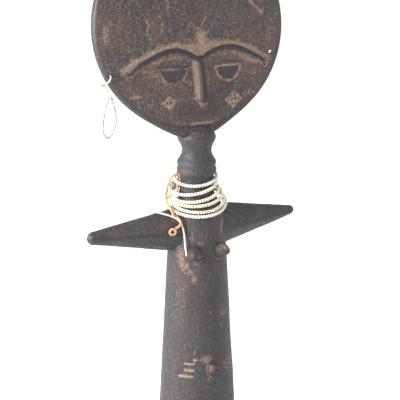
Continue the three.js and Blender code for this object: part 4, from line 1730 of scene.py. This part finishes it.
@dataclass
class EarOrnament:
    """The loop of tiny beads in the doll's right ear, with its tie round the rim and its stem."""

    tie_ply: Ply = Ply(radius=0.5, yarns=2, lay=2.4)
    tie_fall: float = 63.0
    tie_out: float = 5.0
    tie_proud: float = 0.8
    knot_r: float = 1.05
    stem_ply: Ply = Ply(radius=0.6, yarns=2, lay=2.2)
    stem: tuple[Point, ...] = ((-59.0, 1.4, 256.5), (-58.6, 1.4, 254.2), (-58.0, 1.4, 251.9))
    bead: Bead = Bead(radius=0.65, length=0.92, bore=0.28, sides=10)
    pitch: float = 1.0
    thread_ply: Ply = Ply(radius=0.15, yarns=2, lay=1.2)
    thread_proud: float = 0.5
    loop: tuple[Point, ...] = (
        (-58.4, 1.4, 251.0),
        (-58.8, 1.4, 248.6),
        (-59.5, 1.4, 246.0),
        (-60.4, 1.4, 243.0),
        (-61.3, 1.4, 239.8),
        (-62.1, 1.4, 235.5),
        (-62.4, 1.4, 231.2),
        (-61.7, 1.4, 227.4),
        (-59.5, 1.4, 225.1),
        (-57.2, 1.4, 226.2),
        (-55.3, 1.4, 229.2),
        (-54.0, 1.4, 233.4),
        (-53.7, 1.4, 237.0),
        (-54.2, 1.4, 241.5),
        (-55.2, 1.4, 246.0),
        (-56.6, 1.4, 250.7),
    )

    def build_tie(self, head: HeadDisc) -> bpy.types.Object:
        """Make the tie: a loop through the ear hole and round the rim, with its knot outside.

        Args:
            head: the head, for its frame, its hole and its depth there.

        Returns:
            The tie as one mesh.
        """
        hole, _ = head.ear_holes[0]
        fall = math.radians(self.tie_fall)
        front = head.face_depth(math.hypot(*hole)) + self.tie_ply.radius + self.tie_proud

        def place(out: float, depth: float) -> Point:
            return hole[0] - out * math.cos(fall), hole[1] - out * math.sin(fall), depth

        quarter = ((0.0, 0.75), (0.26, 1.0), (0.7, 0.88), (0.98, 0.4))
        stops = [place(0, 0)]
        stops += [place(out * self.tie_out, depth * front) for out, depth in quarter]
        stops.append(place(self.tie_out, 0))
        stops += [place(out * self.tie_out, -depth * front) for out, depth in reversed(quarter)]
        shape = Shape()
        sweep_cord(shape, smooth_path(stops, 0.3, closed=True), self.tie_ply, closed=True)
        knot = np.array(place(self.tie_out + self.knot_r - 0.2, 0))
        shape_knot(shape, knot, self.knot_r, self.tie_ply)
        for way in ((-3.4, 0.2, 1.6), (-2.6, -1.2, 1.9)):
            end = smooth_path([tuple(knot + np.array(way) * reach) for reach in (0, 0.5, 1)], 0.3)
            sweep_cord(shape, end, self.tie_ply)
        return shape.to_object("ear_thread_tie", head.frame())

    def dress(
        self, head: HeadDisc, glass: bpy.types.Material, cotton: bpy.types.Material
    ) -> list[bpy.types.Object]:
        """Build the ornament's four pieces and tie each to its body.

        Args:
            head: the head that the tie goes through.
            glass: the tiny beads' material.
            cotton: the threads' material.

        Returns:
            The finished pieces.
        """
        tie = self.build_tie(head)
        stem_shape = Shape()
        sweep_cord(stem_shape, smooth_path(list(self.stem), 0.25), self.stem_ply)
        stem = stem_shape.to_object("ear_thread_stem")
        line = smooth_path(list(self.loop), self.pitch)
        chance = np.random.default_rng(7)
        bead_shape = Shape()
        for here, there in zip(line, line[1:]):
            tone = 0.45 * chance.random() + 0.4 * (chance.random() < 0.15)
            self.bead.thread_on(bead_shape, (here + there) / 2, there - here, tone, chance.uniform(0.92, 1.0))
        beads = bead_shape.to_object("tiny_beads")
        ends = [(x, y, z + self.thread_proud) for x, y, z in (self.loop[0], self.loop[-1])]
        thread_line = smooth_path([ends[0], *self.loop, ends[1]], 0.35)
        thread_shape = Shape()
        sweep_cord(thread_shape, thread_line, self.thread_ply)
        thread = thread_shape.to_object("ear_loop_cotton")
        for piece, stuff, body, node, slot in (
            (tie, cotton, "figure", "ear_tie", "cream_thread"),
            (stem, cotton, "ear_stem", "ear_stem", "cream_thread"),
            (beads, glass, "ear_loop", "ear_loop_beads", "clear_beads"),
            (thread, cotton, "ear_loop", "ear_loop_thread", "cream_thread"),
        ):
            piece.data.materials.append(stuff)
            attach(piece, body)
            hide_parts(node)
        return [tie, stem, beads, thread]


def main() -> None:
    """Build the studio and every piece in order, and report each."""
    logging.basicConfig(level=logging.INFO, format="%(name)s: %(message)s")
    Studio().build()
    cream = SpunCotton("cream_cotton_thread", "f4ead0", "c9b488").build()
    white = SpunCotton("white_cotton_thread", "fbf7ee", "d3c6b2").build()
    tan = SpunCotton("tan_cotton_cord", "eab78e", "ad7248").build()
    seed_glass = BeadGlass(Glass.CREAM).build()
    tiny_glass = BeadGlass(Glass.LAVENDER).build()
    figure = CarvedFigure()
    made = [LooseThread().dress(white)]
    made += EarOrnament().dress(figure.head, tiny_glass, cream)
    made.append(BundleTie().dress(tan))
    made += NeckStrands().dress(seed_glass, cream)
    made.append(figure.dress(BlackenedWood().build()))
    for piece in made:
        LOG.info("%s: %d faces", piece.name, len(piece.data.polygons))


if __name__ == "__main__":
    main()
